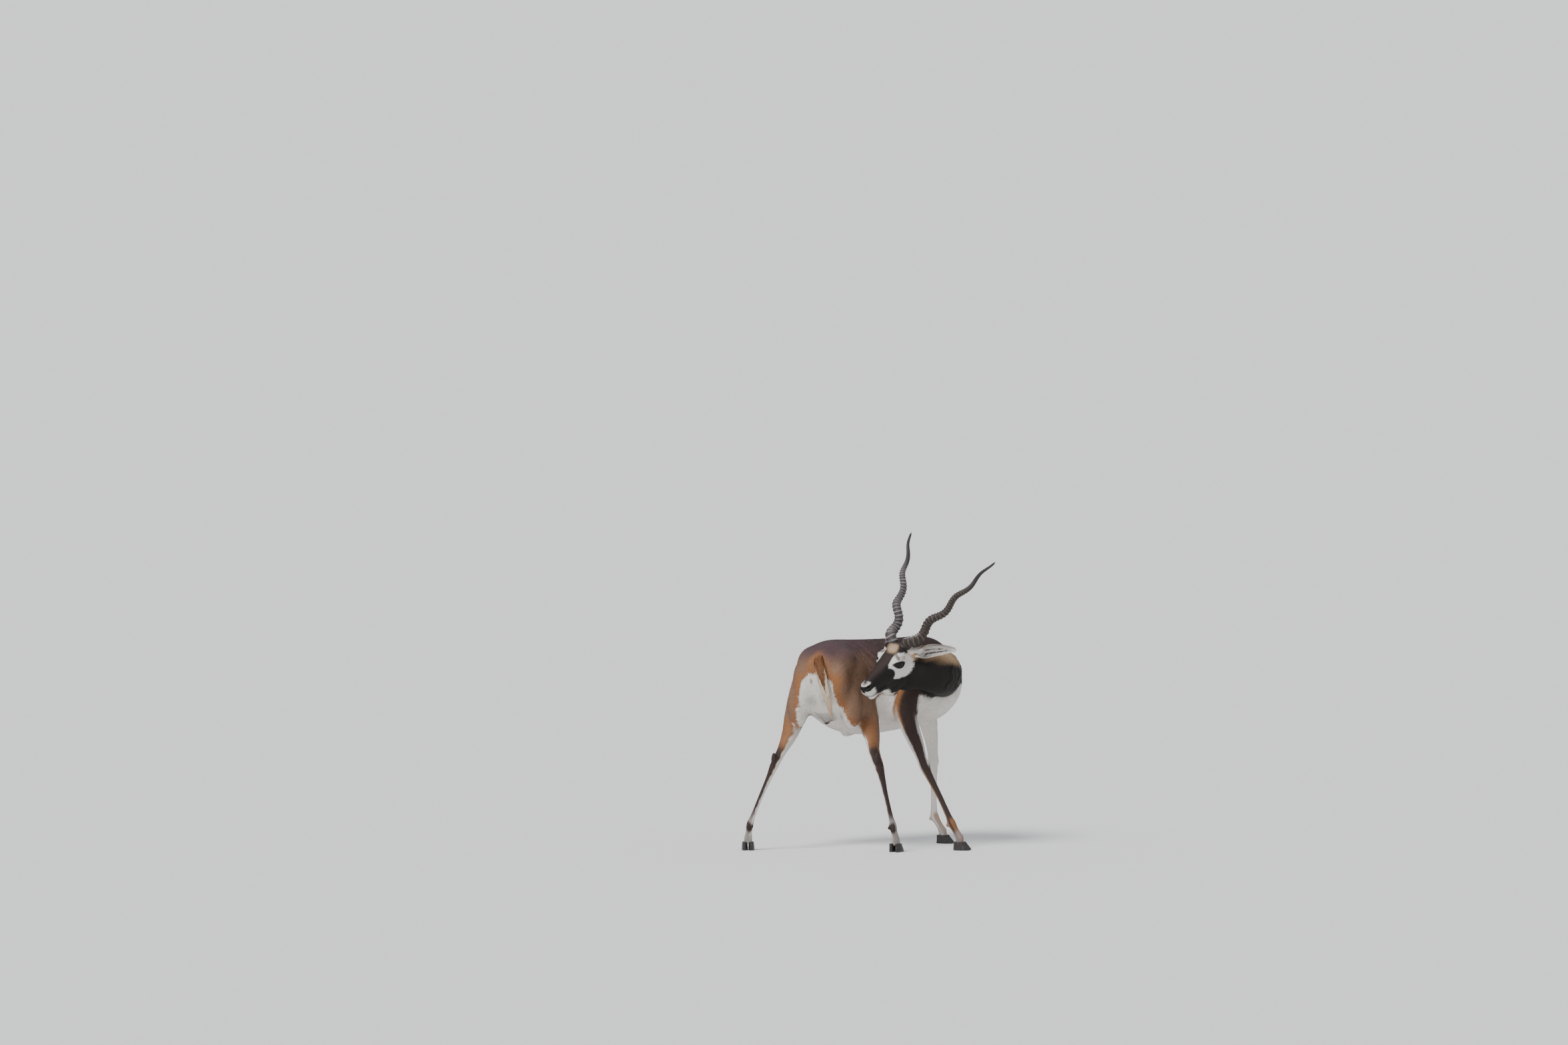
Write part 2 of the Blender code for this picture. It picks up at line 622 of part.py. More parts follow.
def horn_axes(side):
    """A horn's axis, the direction out from the middle, and the one over both, mirrored."""
    sign = SIDES[side]
    spread, lean = math.radians(HORN_SPREADS[side]), math.radians(HORN_LEANS[side])
    aim = (sign * math.sin(spread), -math.cos(spread) * math.cos(lean), math.cos(spread) * math.sin(lean))
    axis = np.array(aim) @ HEAD_AXES
    out = units(sign * (HEAD_AXES[0] - axis * (HEAD_AXES[0] @ axis)))
    return axis, out, np.cross(axis, out) * sign


def horn_grid(side, swell=0.0):
    """Rings of points from a horn's plug to its tip; each ridge lies between two plain rows."""
    axis, out, over = horn_axes(side)
    t = np.concatenate([
        np.linspace(0, RINGED_SHARE, 2 * HORN_RINGS, endpoint=False),
        np.linspace(RINGED_SHARE, 1, TIP_ROWS),
    ])
    turn = math.radians(HORN_PHASES[side]) - 2 * np.pi * HORN_TURNS * t
    coil = HORN_COIL * np.clip(t / COIL_ROOT_SHARE, 0, 1) * (1 - 0.75 * t)
    root = head_place(SIDES[side] * HORN_ROOT[0], HORN_ROOT[1], HORN_ROOT[2])
    line = root + np.outer(HORN_LENGTHS[side] * t, axis)
    line += np.outer(coil * np.cos(turn), out) + np.outer(coil * np.sin(turn), over)
    thick, middle, thin = HORN_RADII
    radius = thick + (middle - thick) * np.clip(t / HORN_MIDDLE_SHARE, 0, 1) ** 0.8
    radius -= (middle - thin) * np.clip((t - HORN_MIDDLE_SHARE) / (1 - HORN_MIDDLE_SHARE), 0, 1) ** 1.15
    ridge = (np.arange(len(t)) % 2 == 1) & (t > COIL_ROOT_SHARE / 2) & (t < RINGED_SHARE)
    radius += RING_HEIGHT * ridge * (1 - 0.5 * t) + swell
    tangent = units(np.gradient(line, axis=0))
    across = units(out - tangent * (tangent @ out)[:, None])
    grid = rings(line, across, np.cross(tangent, across), radius, radius, radius, HORN_SIDES)
    plug = grid[:1] - axis * (HORN_SOCKET_DEPTH + swell)
    return np.concatenate([plug, grid])


def horn(side):
    """A ringed spiral horn with a plug at its root."""
    return closed_mesh(horn_grid(side))


def horn_socket(side):
    """The room that a horn's plug and lowest rings take up in the skull."""
    return closed_mesh(horn_grid(side, 1.5 * GAP)[:HORN_SOCKET_ROWS])


def ear_shells(side):
    """Outer and inner surface of an ear: a leaf rolled to a tube at its root, open to its tip."""
    sign = SIDES[side]
    mirror = np.array((sign, 1.0, 1.0))
    along = units(np.array(EAR_AIMS[side]) * mirror @ HEAD_AXES)
    face = np.array(EAR_FACE) * mirror @ HEAD_AXES
    face = units(face - along * (face @ along))
    across = np.cross(along, face)
    root = head_place(sign * EAR_ROOT[0], EAR_ROOT[1], EAR_ROOT[2])
    share, angle, half_width, thick = curve_through(EAR_ROLL, 14).T
    roll = np.radians(angle)[:, None] * np.linspace(-1, 1, 9)
    radius = half_width / np.sin(np.radians(np.minimum(angle, 90.0)))
    spots = root + np.outer(share * EAR_LENGTH, along)[:, None]
    shells = []
    for inset in (0.0, thick):
        reach = np.maximum(radius - inset, 0.0012)[:, None]
        aside, back = reach * np.sin(roll), -reach * np.cos(roll)
        shells.append(spots + across * aside[..., None] + face * back[..., None])
    return shells, along


def ear(side):
    """One ear as a closed solid."""
    (outer, inner), _ = ear_shells(side)
    return closed_mesh(np.concatenate([outer, inner[:, ::-1]], axis=1))


def ear_socket(side):
    """The room that an ear's root takes up in the head."""
    (outer, inner), along = ear_shells(side)
    low = outer[:EAR_SOCKET_ROWS]
    middle = low.mean(axis=1, keepdims=True)
    wide = middle + (low - middle) * (1 + 3 * GAP / EAR_ROLL[0][2])
    wide[0] -= along * 2 * GAP
    return closed_mesh(wide)


def tail_grid(swell=0.0):
    """Rings of points down the tail."""
    rows = curve_through(TAIL, 16)
    line = rows[:, :3]
    tangent = units(np.gradient(line, axis=0))
    back = units(-PELVIS_AXES[1] - tangent * (tangent @ -PELVIS_AXES[1])[:, None])
    thick = rows[:, 4] + swell
    return rings(line, np.cross(back, tangent), back, rows[:, 3] + swell, thick, thick, 12)


def tail_socket():
    """The room that the tail's root takes up in the rump."""
    grid = tail_grid(1.5 * GAP)[:TAIL_SOCKET_ROWS]
    grid[0] += PELVIS_AXES[1] * 2 * GAP
    return closed_mesh(grid)


def claw(name, side):
    """One claw of a hoof: flat sole, straight inner wall, curved outer wall, narrow toe."""
    toe = turned(TOE_HEADINGS[name])
    origin = np.array((LEGS[name][-1][0], LEGS[name][-1][1], 0.0))
    angles = np.linspace(0, 2 * np.pi, CLAW_SIDES, endpoint=False)
    forward = np.cos(angles)
    narrow = np.where(forward > 0, 1 - 0.35 * forward**2, 1.0)
    aside = np.sin(angles) * narrow * CLAW_WIDTH / 2
    layers = []
    for height, long, wide, shift in CLAW_LAYERS:
        out = np.maximum(CLEFT / 2 + CLAW_WIDTH / 2 + aside * wide, CLEFT / 2)
        ahead = forward * CLAW_LENGTH / 2 * long + shift
        layers.append(origin + np.column_stack([side * out, ahead, np.full(CLAW_SIDES, height)]) @ toe)
    return closed_mesh(np.array(layers))


def leg_region(name):
    """Corners of a convex region that holds one leg and nothing else of the flesh."""
    foot = np.array((*LEGS[name][-1][:2], HOOF_TOP))
    toe = turned(TOE_HEADINGS[name])
    corners = [foot + toe[0] * x + toe[1] * y for x in (-0.05, 0.05) for y in (-0.06, 0.06)]
    if name.startswith("hind"):
        side = SIDES[name.split("_")[1]]
        for ahead, height, inner in THIGH_CUTS[name]:
            corners += [np.array((side * out, ahead, height)) @ PELVIS_AXES for out in (inner, THIGH_OUTER)]
    else:
        for height in FOREARM_CUTS:
            middle = np.array((*LEGS[name][STIFLE][:2], height))
            corners += [middle + CHEST_AXES[0] * x + CHEST_AXES[1] * y for x in (-0.05, 0.05) for y in (-0.054, 0.054)]
    return hull_mesh(corners)


def head_region():
    """A convex region that holds the head as far back as the nape cut."""
    corners = [
        head_place(x * (half_width + HEAD_ROOM), along, z)
        for along, top, bottom, half_width, _ in HEAD
        if along > NAPE_CUT
        for x in (-1, 1)
        for z in (top + HEAD_ROOM, bottom - HEAD_ROOM)
    ]
    for along in (NAPE_CUT, NAPE_CUT / 4):
        corners += [head_place(x, along, z) for x in (-0.078, 0.078) for z in (-0.120, 0.092)]
    corners += [head_place(x, HEAD[0][0] + HEAD_ROOM, z) for x in (-0.02, 0.02) for z in (-0.03, 0.02)]
    return hull_mesh(corners)


def grown(mesh, distance):
    """A copy of a closed mesh with every face moved out by a distance."""
    work = bmesh.new()
    work.from_mesh(mesh)
    work.normal_update()
    moves = [vertex.normal * (vertex.calc_shell_factor() * distance) for vertex in work.verts]
    for vertex, move in zip(work.verts, moves):
        vertex.co += move
    copy = bpy.data.meshes.new("grown")
    work.to_mesh(copy)
    work.free()
    return copy


def parted(body, region):
    """The piece of the body inside a region, and what is left of the body outside it."""
    piece = surfaces(boolean(body, region, "INTERSECT"))[0]
    return piece, surfaces(boolean(body, grown(region, GAP), "DIFFERENCE"))[0]


def head_node():
    """The head with its sockets, from the nape cut forward."""
    skin = flesh([neck(), head(), throat()] + head_forms(), HEAD_VOXEL, 3)
    shape_head(skin)
    node = boolean(thinned(skin, HEAD_TRIANGLES), head_region(), "INTERSECT")
    for side, sign in SIDES.items():
        node = boolean(node, eye_opening(sign), "DIFFERENCE")
        node = boolean(node, round_form(HEAD_AXES, eye_middle(sign), (EYE_RADIUS + GAP,) * 3), "DIFFERENCE")
        node = boolean(node, horn_socket(side), "DIFFERENCE")
        node = boolean(node, ear_socket(side), "DIFFERENCE")
    return surfaces(node)[0]


def flesh_nodes():
    """Torso, neck, head and legs, parted by thin cuts."""
    core = [trunk(), neck(), head(HEAD[HEAD_BACK:])] + [limb(name) for name in LEGS] + muscles()
    core = flesh(core, CORE_VOXEL, CORE_SMOOTHING)
    body = flesh([core] + [limb(name, STIFLE) for name in LEGS] + small_forms(), BODY_VOXEL, BODY_SMOOTHING)
    body = thinned(body, BODY_TRIANGLES)
    nodes = {"head": head_node()}
    body = parted(body, head_region())[1]
    for name in LEGS:
        nodes["leg_" + name], body = parted(body, leg_region(name))
    nodes["neck"], body = parted(body, neck(NECK_CUT, NECK_REGION_END, NECK_ROOM))
    nodes["torso"] = boolean(body, tail_socket(), "DIFFERENCE")
    return nodes


def solids():
    """Every sub-part's mesh, in the frame of the pose, with its finish."""
    found = {}
    for name, mesh in flesh_nodes().items():
        found[name] = (mesh, "brown_coat" if name.startswith("leg") else "dark_coat")
    found["tail"] = (closed_mesh(tail_grid()), "brown_coat")
    for side, sign in SIDES.items():
        found["eye_" + side] = (round_form(HEAD_AXES, eye_middle(sign), (EYE_RADIUS,) * 3), "eye")
        found["ear_" + side] = (ear(side), "pale_coat")
        found["horn_" + side] = (horn(side), "horn")
    for name in LEGS:
        for side, sign in SIDES.items():
            found["claw_%s_%s" % (name, side)] = (claw(name, sign), "hoof")
    return found


def finish(name):
    """A plain finish."""
    colour, roughness = FINISHES[name]
    made = bpy.data.materials.new(name)
    made.use_nodes = True
    shader = made.node_tree.nodes["Principled BSDF"]
    shader.inputs["Base Color"].default_value = (*colour, 1.0)
    shader.inputs["Roughness"].default_value = roughness
    shader.inputs["Metallic"].default_value = 0.0
    return made


def main():
    """Build the whole animal, with the origin under the middle of its box."""
    for thing in list(bpy.data.objects):
        bpy.data.objects.remove(thing)
    found = solids()
    every = np.concatenate([vertices(mesh) for mesh, _ in found.values()])
    middle = (every.min(axis=0) + every.max(axis=0)) / 2 * (1, 1, 0)
    finishes = {name: finish(name) for name in FINISHES}
    for name, (mesh, look) in found.items():
        move_vertices(mesh, vertices(mesh) - middle)
        mesh.materials.clear()
        mesh.materials.append(finishes[look])
        mesh.shade_smooth()
        mesh.set_sharp_from_angle(angle=math.radians(40))
        bpy.context.collection.objects.link(bpy.data.objects.new(name, mesh))


if __name__ == "__main__":
    main()
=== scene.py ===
"""The looks of a life-size blackbuck: one skin under its coat, horns, ears, eyes, tail and hooves.

The named sizes are those of the solids, in the frame of the pose: X to the right of a viewer
behind the animal, Y away from that viewer, Z up, from the floor under the tail's root.
"""

import logging
import math
from collections.abc import Sequence
from dataclasses import dataclass

import bmesh
import bpy
import numpy as np
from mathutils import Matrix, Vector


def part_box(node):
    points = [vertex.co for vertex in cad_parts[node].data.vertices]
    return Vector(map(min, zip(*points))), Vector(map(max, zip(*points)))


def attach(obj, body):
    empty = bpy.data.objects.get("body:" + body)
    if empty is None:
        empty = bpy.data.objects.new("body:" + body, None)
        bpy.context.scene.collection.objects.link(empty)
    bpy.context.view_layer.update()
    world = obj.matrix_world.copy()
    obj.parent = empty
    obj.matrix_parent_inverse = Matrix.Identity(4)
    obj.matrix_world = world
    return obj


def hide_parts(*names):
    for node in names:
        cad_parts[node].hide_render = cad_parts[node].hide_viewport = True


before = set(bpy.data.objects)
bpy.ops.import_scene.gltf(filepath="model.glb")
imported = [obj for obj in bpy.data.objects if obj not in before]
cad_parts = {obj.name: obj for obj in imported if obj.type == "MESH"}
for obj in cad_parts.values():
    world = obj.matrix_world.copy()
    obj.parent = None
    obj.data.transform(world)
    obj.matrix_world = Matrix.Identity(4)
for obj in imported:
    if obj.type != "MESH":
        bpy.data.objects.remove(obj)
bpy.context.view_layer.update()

LOG = logging.getLogger("blackbuck")
Array = np.ndarray
Mesh = bpy.types.Mesh
Thing = bpy.types.Object
Material = bpy.types.Material
SIDES = {"right": 1, "left": -1}
UP = np.array((0.0, 0.0, 1.0))


def turned(heading: float, pitch: float = 0.0, roll: float = 0.0) -> Array:
    """A frame's directions.

    Args:
        heading: degrees clockwise from +Y.
        pitch: degrees that the frame's forward looks up.
        roll: degrees that its right side is raised.

    Returns:
        Right, forward and up as rows.
    """
    around, climb, lean = np.radians([heading, pitch, roll])
    forward = np.array((np.sin(around) * np.cos(climb), np.cos(around) * np.cos(climb), np.sin(climb)))
    level = np.array((np.cos(around), -np.sin(around), 0.0))
    right = level * np.cos(lean) + np.cross(level, forward) * np.sin(lean)
    return np.array((right, forward, np.cross(right, forward)))


def units(vectors: Array) -> Array:
    """Vectors of length one."""
    return vectors / np.maximum(np.linalg.norm(vectors, axis=-1, keepdims=True), 1e-12)


def smooth(values: Array, low: float, high: float) -> Array:
    """A soft step that rises from 0 at low to 1 at high: 3 t squared less 2 t cubed."""
    t = np.clip((values - low) / (high - low), 0, 1)
    return t * t * (3 - 2 * t)


def curve_through(rows: Sequence, count: int) -> Array:
    """Cubic curve through rows of values, each stretch fixed by its four nearest rows.

    Args:
        rows: the rows that the curve passes through.
        count: how many rows to read off the curve.

    Returns:
        The rows read at an even pace.
    """
    rows = np.asarray(rows, float)
    padded = np.vstack([2 * rows[0] - rows[1], rows, 2 * rows[-1] - rows[-2]])
    pace = np.linspace(0, len(rows) - 1, count)
    first = np.minimum(pace.astype(int), len(rows) - 2)
    t = (pace - first)[:, None]
    a, b, c, d = (padded[first + k] for k in range(4))
    return 0.5 * (2 * b + (c - a) * t + (2 * a - 5 * b + 4 * c - d) * t**2 + (3 * b - a - 3 * c + d) * t**3)


def rings(centres: Array, across: Array, upward: Array, wide: Array, rises: Array, drops: Array,
          sides: int, fullness: float = 2.0) -> Array:
    """Rings round a path: centre + across * wide * cos(a) + upward * height * sin(a).

    Args:
        centres: the path's points.
        across: direction to the side at each point.
        upward: direction upwards at each point.
        wide: half width at each point.
        rises: height above the path at each point.
        drops: depth below it.
        sides: points in a ring.
        fullness: 2 for ellipses, more for fuller corners.

    Returns:
        A grid of points, one row for each ring.
    """
    angles = np.linspace(0, 2 * np.pi, sides, endpoint=False)
    aside, above = (np.sign(f) * np.abs(f) ** (2 / fullness) for f in (np.cos(angles), np.sin(angles)))
    reach = np.where(above > 0, np.asarray(rises)[:, None], np.asarray(drops)[:, None]) * above
    spread = np.asarray(wide)[:, None] * aside
    return centres[:, None] + across[:, None] * spread[..., None] + upward[:, None] * reach[..., None]


def outward(mesh: Mesh) -> Mesh:
    """Turn a closed mesh's faces to the outside."""
    work = bmesh.new()
    work.from_mesh(mesh)
    bmesh.ops.recalc_face_normals(work, faces=work.faces)
    if work.calc_volume(signed=True) < 0:
        bmesh.ops.reverse_faces(work, faces=work.faces)
    work.to_mesh(mesh)
    work.free()
    return mesh


def closed_mesh(grid: Array) -> Mesh:
    """A mesh over a grid of rings, with a cap on its first and its last ring."""
    count, sides = grid.shape[:2]
    index = np.arange(count * sides).reshape(count, sides)
    step = np.roll(index, -1, axis=1)
    walls = np.stack([index[:-1], step[:-1], step[1:], index[1:]], axis=-1).reshape(-1, 4)
    faces = walls.tolist() + [index[0][::-1].tolist(), index[-1].tolist()]
    mesh = bpy.data.meshes.new("form")
    mesh.from_pydata(grid.reshape(-1, 3).tolist(), [], faces)
    return outward(mesh)


def mesh_of(points: Array, faces: Array) -> Mesh:
    """A mesh of many faces with the same number of corners.

    Args:
        points: the corners' places.
        faces: one row of corner numbers for each face.

    Returns:
        The mesh.
    """
    mesh = bpy.data.meshes.new("form")
    mesh.vertices.add(len(points))
    mesh.vertices.foreach_set("co", np.ascontiguousarray(points, np.float32).ravel())
    mesh.loops.add(faces.size)
    mesh.loops.foreach_set("vertex_index", np.ascontiguousarray(faces, np.int32).ravel())
    mesh.polygons.add(len(faces))
    mesh.polygons.foreach_set("loop_start", np.arange(0, faces.size, faces.shape[1], dtype=np.int32))
    mesh.update(calc_edges=True)
    return mesh


def read(mesh: Mesh) -> Array:
    """The places of a mesh's vertices."""
    values = np.empty(len(mesh.vertices) * 3, np.float32)
    mesh.vertices.foreach_get("co", values)
    return values.reshape(-1, 3).astype(float)


def read_normals(mesh: Mesh) -> Array:
    """The normals of a mesh's vertices."""
    values = np.empty(len(mesh.vertices) * 3, np.float32)
    mesh.vertex_normals.foreach_get("vector", values)
    return values.reshape(-1, 3).astype(float)


def move(mesh: Mesh, points: Array) -> Mesh:
    """Put a mesh's vertices at the points of an array."""
    mesh.vertices.foreach_set("co", np.ascontiguousarray(points, np.float32).ravel())
    mesh.update()
    return mesh


def round_form(axes: Array, centre: Array, radii: Sequence[float], segments: int = 24) -> Mesh:
    """An ellipsoid: centre + radii * (cos u sin v, sin u sin v, cos v) along a frame's axes.

    Args:
        axes: the frame's directions.
        centre: its middle.
        radii: its radii to the frame's right, forward and up.
        segments: faces round its waist.

    Returns:
        The closed mesh.
    """
    v = np.linspace(0.02, np.pi - 0.02, segments // 2 + 1)[:, None]
    u = np.linspace(0, 2 * np.pi, segments, endpoint=False)
    ball = np.stack([np.cos(u) * np.sin(v), np.sin(u) * np.sin(v), np.cos(v) + 0 * u], axis=-1)
    return closed_mesh(ball * np.asarray(radii) @ axes + np.asarray(centre))


def applied(mesh: Mesh, kind: str, **settings: object) -> Mesh:
    """The mesh that one modifier makes of a mesh.

    Args:
        mesh: what the modifier works on.
        kind: the modifier's type.
        settings: the modifier's settings.

    Returns:
        The new mesh.
    """
    work = bpy.data.objects.new("work", mesh)
    bpy.context.collection.objects.link(work)
    modifier = work.modifiers.new(kind.title(), kind)
    for key, value in settings.items():
        setattr(modifier, key, value)
    graph = bpy.context.evaluated_depsgraph_get()
    result = bpy.data.meshes.new_from_object(work.evaluated_get(graph))
    bpy.data.objects.remove(work)
    return result


def joined(pieces: Sequence[Mesh]) -> Mesh:
    """One mesh of many closed forms that pass into each other."""
    work = bmesh.new()
    for piece in pieces:
        work.from_mesh(piece)
    mesh = bpy.data.meshes.new("forms")
    work.to_mesh(mesh)
    work.free()
    return mesh


def bump_at(points: Array, place: Sequence[float], spread: Sequence[float]) -> Array:
    """A soft bump of height one round a place: e to the minus squared distance over spread."""
    away = (points - np.asarray(place)) / np.asarray(spread)
    return np.exp(-(away**2).sum(axis=1))


@dataclass(frozen=True)
class Trunk:
    """Rump, belly, ribs and chest along a middle line that turns from pelvis to chest.

    Each row holds the distance from the tail's root, the top of the back, the underside, the
    half width and the height of the widest part.
    """

    pelvis_heading: float = 18.0
    chest_heading: float = 110.0
    turn: tuple = (0.11, 0.52)
    end: float = 0.66
    rows: tuple = (
        (-0.020, 0.640, 0.560, 0.030, 0.600),
        (0.005, 0.668, 0.500, 0.068, 0.590),
        (0.050, 0.686, 0.455, 0.092, 0.580),
        (0.110, 0.697, 0.425, 0.104, 0.560),
        (0.180, 0.697, 0.392, 0.106, 0.545),
        (0.260, 0.692, 0.372, 0.116, 0.525),
        (0.340, 0.690, 0.371, 0.121, 0.520),
        (0.420, 0.694, 0.382, 0.114, 0.525),
        (0.490, 0.700, 0.398, 0.100, 0.530),
        (0.550, 0.692, 0.414, 0.085, 0.535),
        (0.605, 0.650, 0.452, 0.065, 0.545),
        (0.640, 0.600, 0.500, 0.040, 0.550),
    )

    def spine(self, distances: Array) -> tuple[Array, Array]:
        """Middle line on the floor plan: the sum of short steps along a heading that eases round.

        Args:
            distances: distances from the tail's root.

        Returns:
            Points on the plan, and the headings there in degrees.
        """
        fine = np.linspace(-0.05, self.end + 0.05, 400)
        share = np.clip((fine - self.turn[0]) / (self.turn[1] - self.turn[0]), 0, 1)
        eased = (share + share * share * (3 - 2 * share)) / 2
        headings = self.pelvis_heading + (self.chest_heading - self.pelvis_heading) * eased
        pace = np.stack([np.sin(np.radians(headings)), np.cos(np.radians(headings))], axis=1)
        plan = np.cumsum(pace, axis=0) * (fine[1] - fine[0])
        plan -= [np.interp(0, fine, plan[:, k]) for k in range(2)]
        spots = np.stack([np.interp(distances, fine, plan[:, k]) for k in range(2)], axis=-1)
        return spots, np.interp(distances, fine, headings)

    def form(self) -> Mesh:
        """The trunk as full ellipses round its middle line."""
        sizes = curve_through(self.rows, 46)
        spots, headings = self.spine(sizes[:, 0])
        angles = np.radians(headings)
        across = np.stack([np.cos(angles), -np.sin(angles), 0 * angles], axis=1)
        upward = np.tile(UP, (len(sizes), 1))
        centres = np.column_stack([spots, sizes[:, 4]])
        rises, drops = sizes[:, 1] - sizes[:, 4], sizes[:, 4] - sizes[:, 2]
        return closed_mesh(rings(centres, across, upward, sizes[:, 3], rises, drops, 32, fullness=2.15))


@dataclass(frozen=True)
class Neck:
    """The neck, bent from the chest round to the skull, deeper from nape to throat than wide."""

    guides: tuple = ((0.335, 0.265, 0.570), (0.443, 0.225, 0.583), (0.450, 0.045, 0.575), (0.292, 0.050, 0.618))
    half_widths: tuple = (0.062, 0.066, 0.064, 0.057, 0.050)
    half_depths: tuple = (0.105, 0.088, 0.076, 0.073, 0.066)

    def line(self, shares: Array) -> Array:
        """Points at shares of the bend, the cubic curve that its four guide points weigh."""
        t = np.asarray(shares, float)[:, None]
        a, b, c, d = (np.array(guide) for guide in self.guides)
        return a * (1 - t) ** 3 + 3 * b * t * (1 - t) ** 2 + 3 * c * t**2 * (1 - t) + d * t**3

    def frames(self, shares: Array) -> tuple[Array, Array, Array, Array]:
        """Points, forward, across and upward directions at shares of the bend."""
        points = self.line(shares)
        forward = units(np.gradient(points, axis=0))
        across = units(np.cross(forward, UP))
        return points, forward, across, np.cross(across, forward)

    def form(self) -> Mesh:
        """The neck as ellipses round its bend."""
        shares = np.linspace(0, 1, 26)
        points, _, across, upward = self.frames(shares)
        stations = np.linspace(0, 1, len(self.half_widths))
        wide = np.interp(shares, stations, self.half_widths)
        deep = np.interp(shares, stations, self.half_depths)
        return closed_mesh(rings(points, across, upward, wide, deep, deep, 24))


@dataclass(frozen=True)
class Head:
    """Skull, cheeks and muzzle in a frame of their own round the midpoint of the eyes.

    Each row holds the distance along the nose from the eyes, the top, the underside, the half
    width and the height of the widest part.
    """

    middle: tuple = (0.2405, 0.0, 0.627)
    heading: float = 233.3
    pitch: float = -35.0
    roll: float = 17.3
    rows: tuple = (
        (0.1440, 0.0080, -0.0150, 0.0110, -0.0030),
        (0.1380, 0.0145, -0.0320, 0.0185, -0.0070),
        (0.1260, 0.0190, -0.0480, 0.0235, -0.0110),
        (0.1060, 0.0220, -0.0550, 0.0255, -0.0130),
        (0.0800, 0.0270, -0.0640, 0.0270, -0.0120),
        (0.0500, 0.0320, -0.0750, 0.0325, -0.0070),
        (0.0220, 0.0375, -0.0870, 0.0415, 0.0000),
        (0.0000, 0.0420, -0.0950, 0.0465, 0.0050),
        (-0.0250, 0.0460, -0.0990, 0.0490, 0.0060),
        (-0.0500, 0.0480, -0.0970, 0.0475, 0.0040),
        (-0.0720, 0.0430, -0.0820, 0.0420, 0.0000),
        (-0.0900, 0.0330, -0.0680, 0.0330, -0.0060),
        (-0.1020, 0.0140, -0.0400, 0.0200, -0.0120),
    )
    back_rows: int = 7
    eye_place: tuple = (0.0365, -0.0020, 0.0140)
    eye_aim: tuple = (0.87, 0.38, 0.24)
    eye_radius: float = 0.0190
    eye_opening: tuple = (0.0180, 0.0112)
    eye_tilt: float = 22.0
    horn_root: tuple = (0.0249, -0.0420, 0.0330)
    ear_root: tuple = (0.0470, -0.0660, 0.0140)
    nostril: tuple = ((0.0130, 0.1335, 0.0062), (0.0120, 0.0110, 0.0042))

    @property
    def axes(self) -> Array:
        """The head's right, forward and up."""
        return turned(self.heading, self.pitch, self.roll)

    def rim(self, level: Array, upright: Array) -> Array:
        """Distance from the eye's middle over that of its bare almond rim."""
        half, high = self.eye_opening
        arch = (high + 0.0016) * np.clip(1 - (level / (half + 0.0065)) ** 2, 0.02, 1) ** 0.9
        return np.maximum(np.abs(upright) / arch, np.abs(level) / (half + 0.0065))

    def place(self, right: float, forward: float, up: float) -> Array:
        """A place given in the head's frame, in the frame of the pose."""
        return np.array(self.middle) + np.array((right, forward, up)) @ self.axes

    def local(self, points: Array) -> Array:
        """Points of the pose in the head's frame."""
        return (points - np.array(self.middle)) @ self.axes.T

    def form(self, first: int = 0) -> Mesh:
        """The head from the nose, or from a later row, to the nape."""
        sizes = curve_through(self.rows[first:], 60)
        axes = self.axes
        centres = np.array(self.middle) + np.outer(sizes[:, 0], axes[1]) + np.outer(sizes[:, 4], axes[2])
        across, upward = (np.tile(axes[k], (len(sizes), 1)) for k in (0, 2))
        rises, drops = sizes[:, 1] - sizes[:, 4], sizes[:, 4] - sizes[:, 2]
        return closed_mesh(rings(centres, across, upward, sizes[:, 3], rises, drops, 40, fullness=2.1))

    def eye_middle(self, side: int) -> Array:
        """The middle of one eye, in the head's frame."""
        return np.array(self.eye_place) * (side, 1, 1)

    def eye_axes(self, side: int) -> Array:
        """The direction that one eye looks in, and those along and over its opening.

        Args:
            side: plus one for the right eye, minus one for the left.

        Returns:
            Three rows in the head's frame.
        """
        out = units(np.array(self.eye_aim) * (side, 1, 1))
        ahead = units(np.array((0.0, 1.0, 0.0)) - out * out[1])
        over = units(UP - out * out[2] - ahead * ahead[2])
        tilt = math.radians(self.eye_tilt)
        long = ahead * math.cos(tilt) + over * math.sin(tilt)
        return np.array((out, long, over * math.cos(tilt) - ahead * math.sin(tilt)))

    def small_forms(self) -> list[Mesh]:
        """Rims round the eyes, cheek muscles, brows, ear bases, lips, chin and throat skin."""
        axes = self.axes
        forms = [round_form(axes, self.place(0.0, 0.018, -0.070), (0.0290, 0.0520, 0.0360))]
        for side in SIDES.values():
            sizes = (
                (self.eye_place, (0.0220, 0.0275, 0.0240)),
                ((0.027, -0.018, -0.055), (0.0200, 0.0450, 0.0350)),
                ((self.horn_root[0], -0.040, 0.032), (0.0235, 0.0250, 0.0220)),
                ((0.042, -0.062, 0.014), (0.0200, 0.0200, 0.0200)),
                ((0.0125, 0.119, -0.022), (0.0130, 0.0210, 0.0115)),
            )
            forms += [round_form(axes, self.place(side * x, y, z), radii) for (x, y, z), radii in sizes]
        forms.append(round_form(axes, self.place(0.0, 0.112, -0.048), (0.0140, 0.0190, 0.0125)))
        return forms

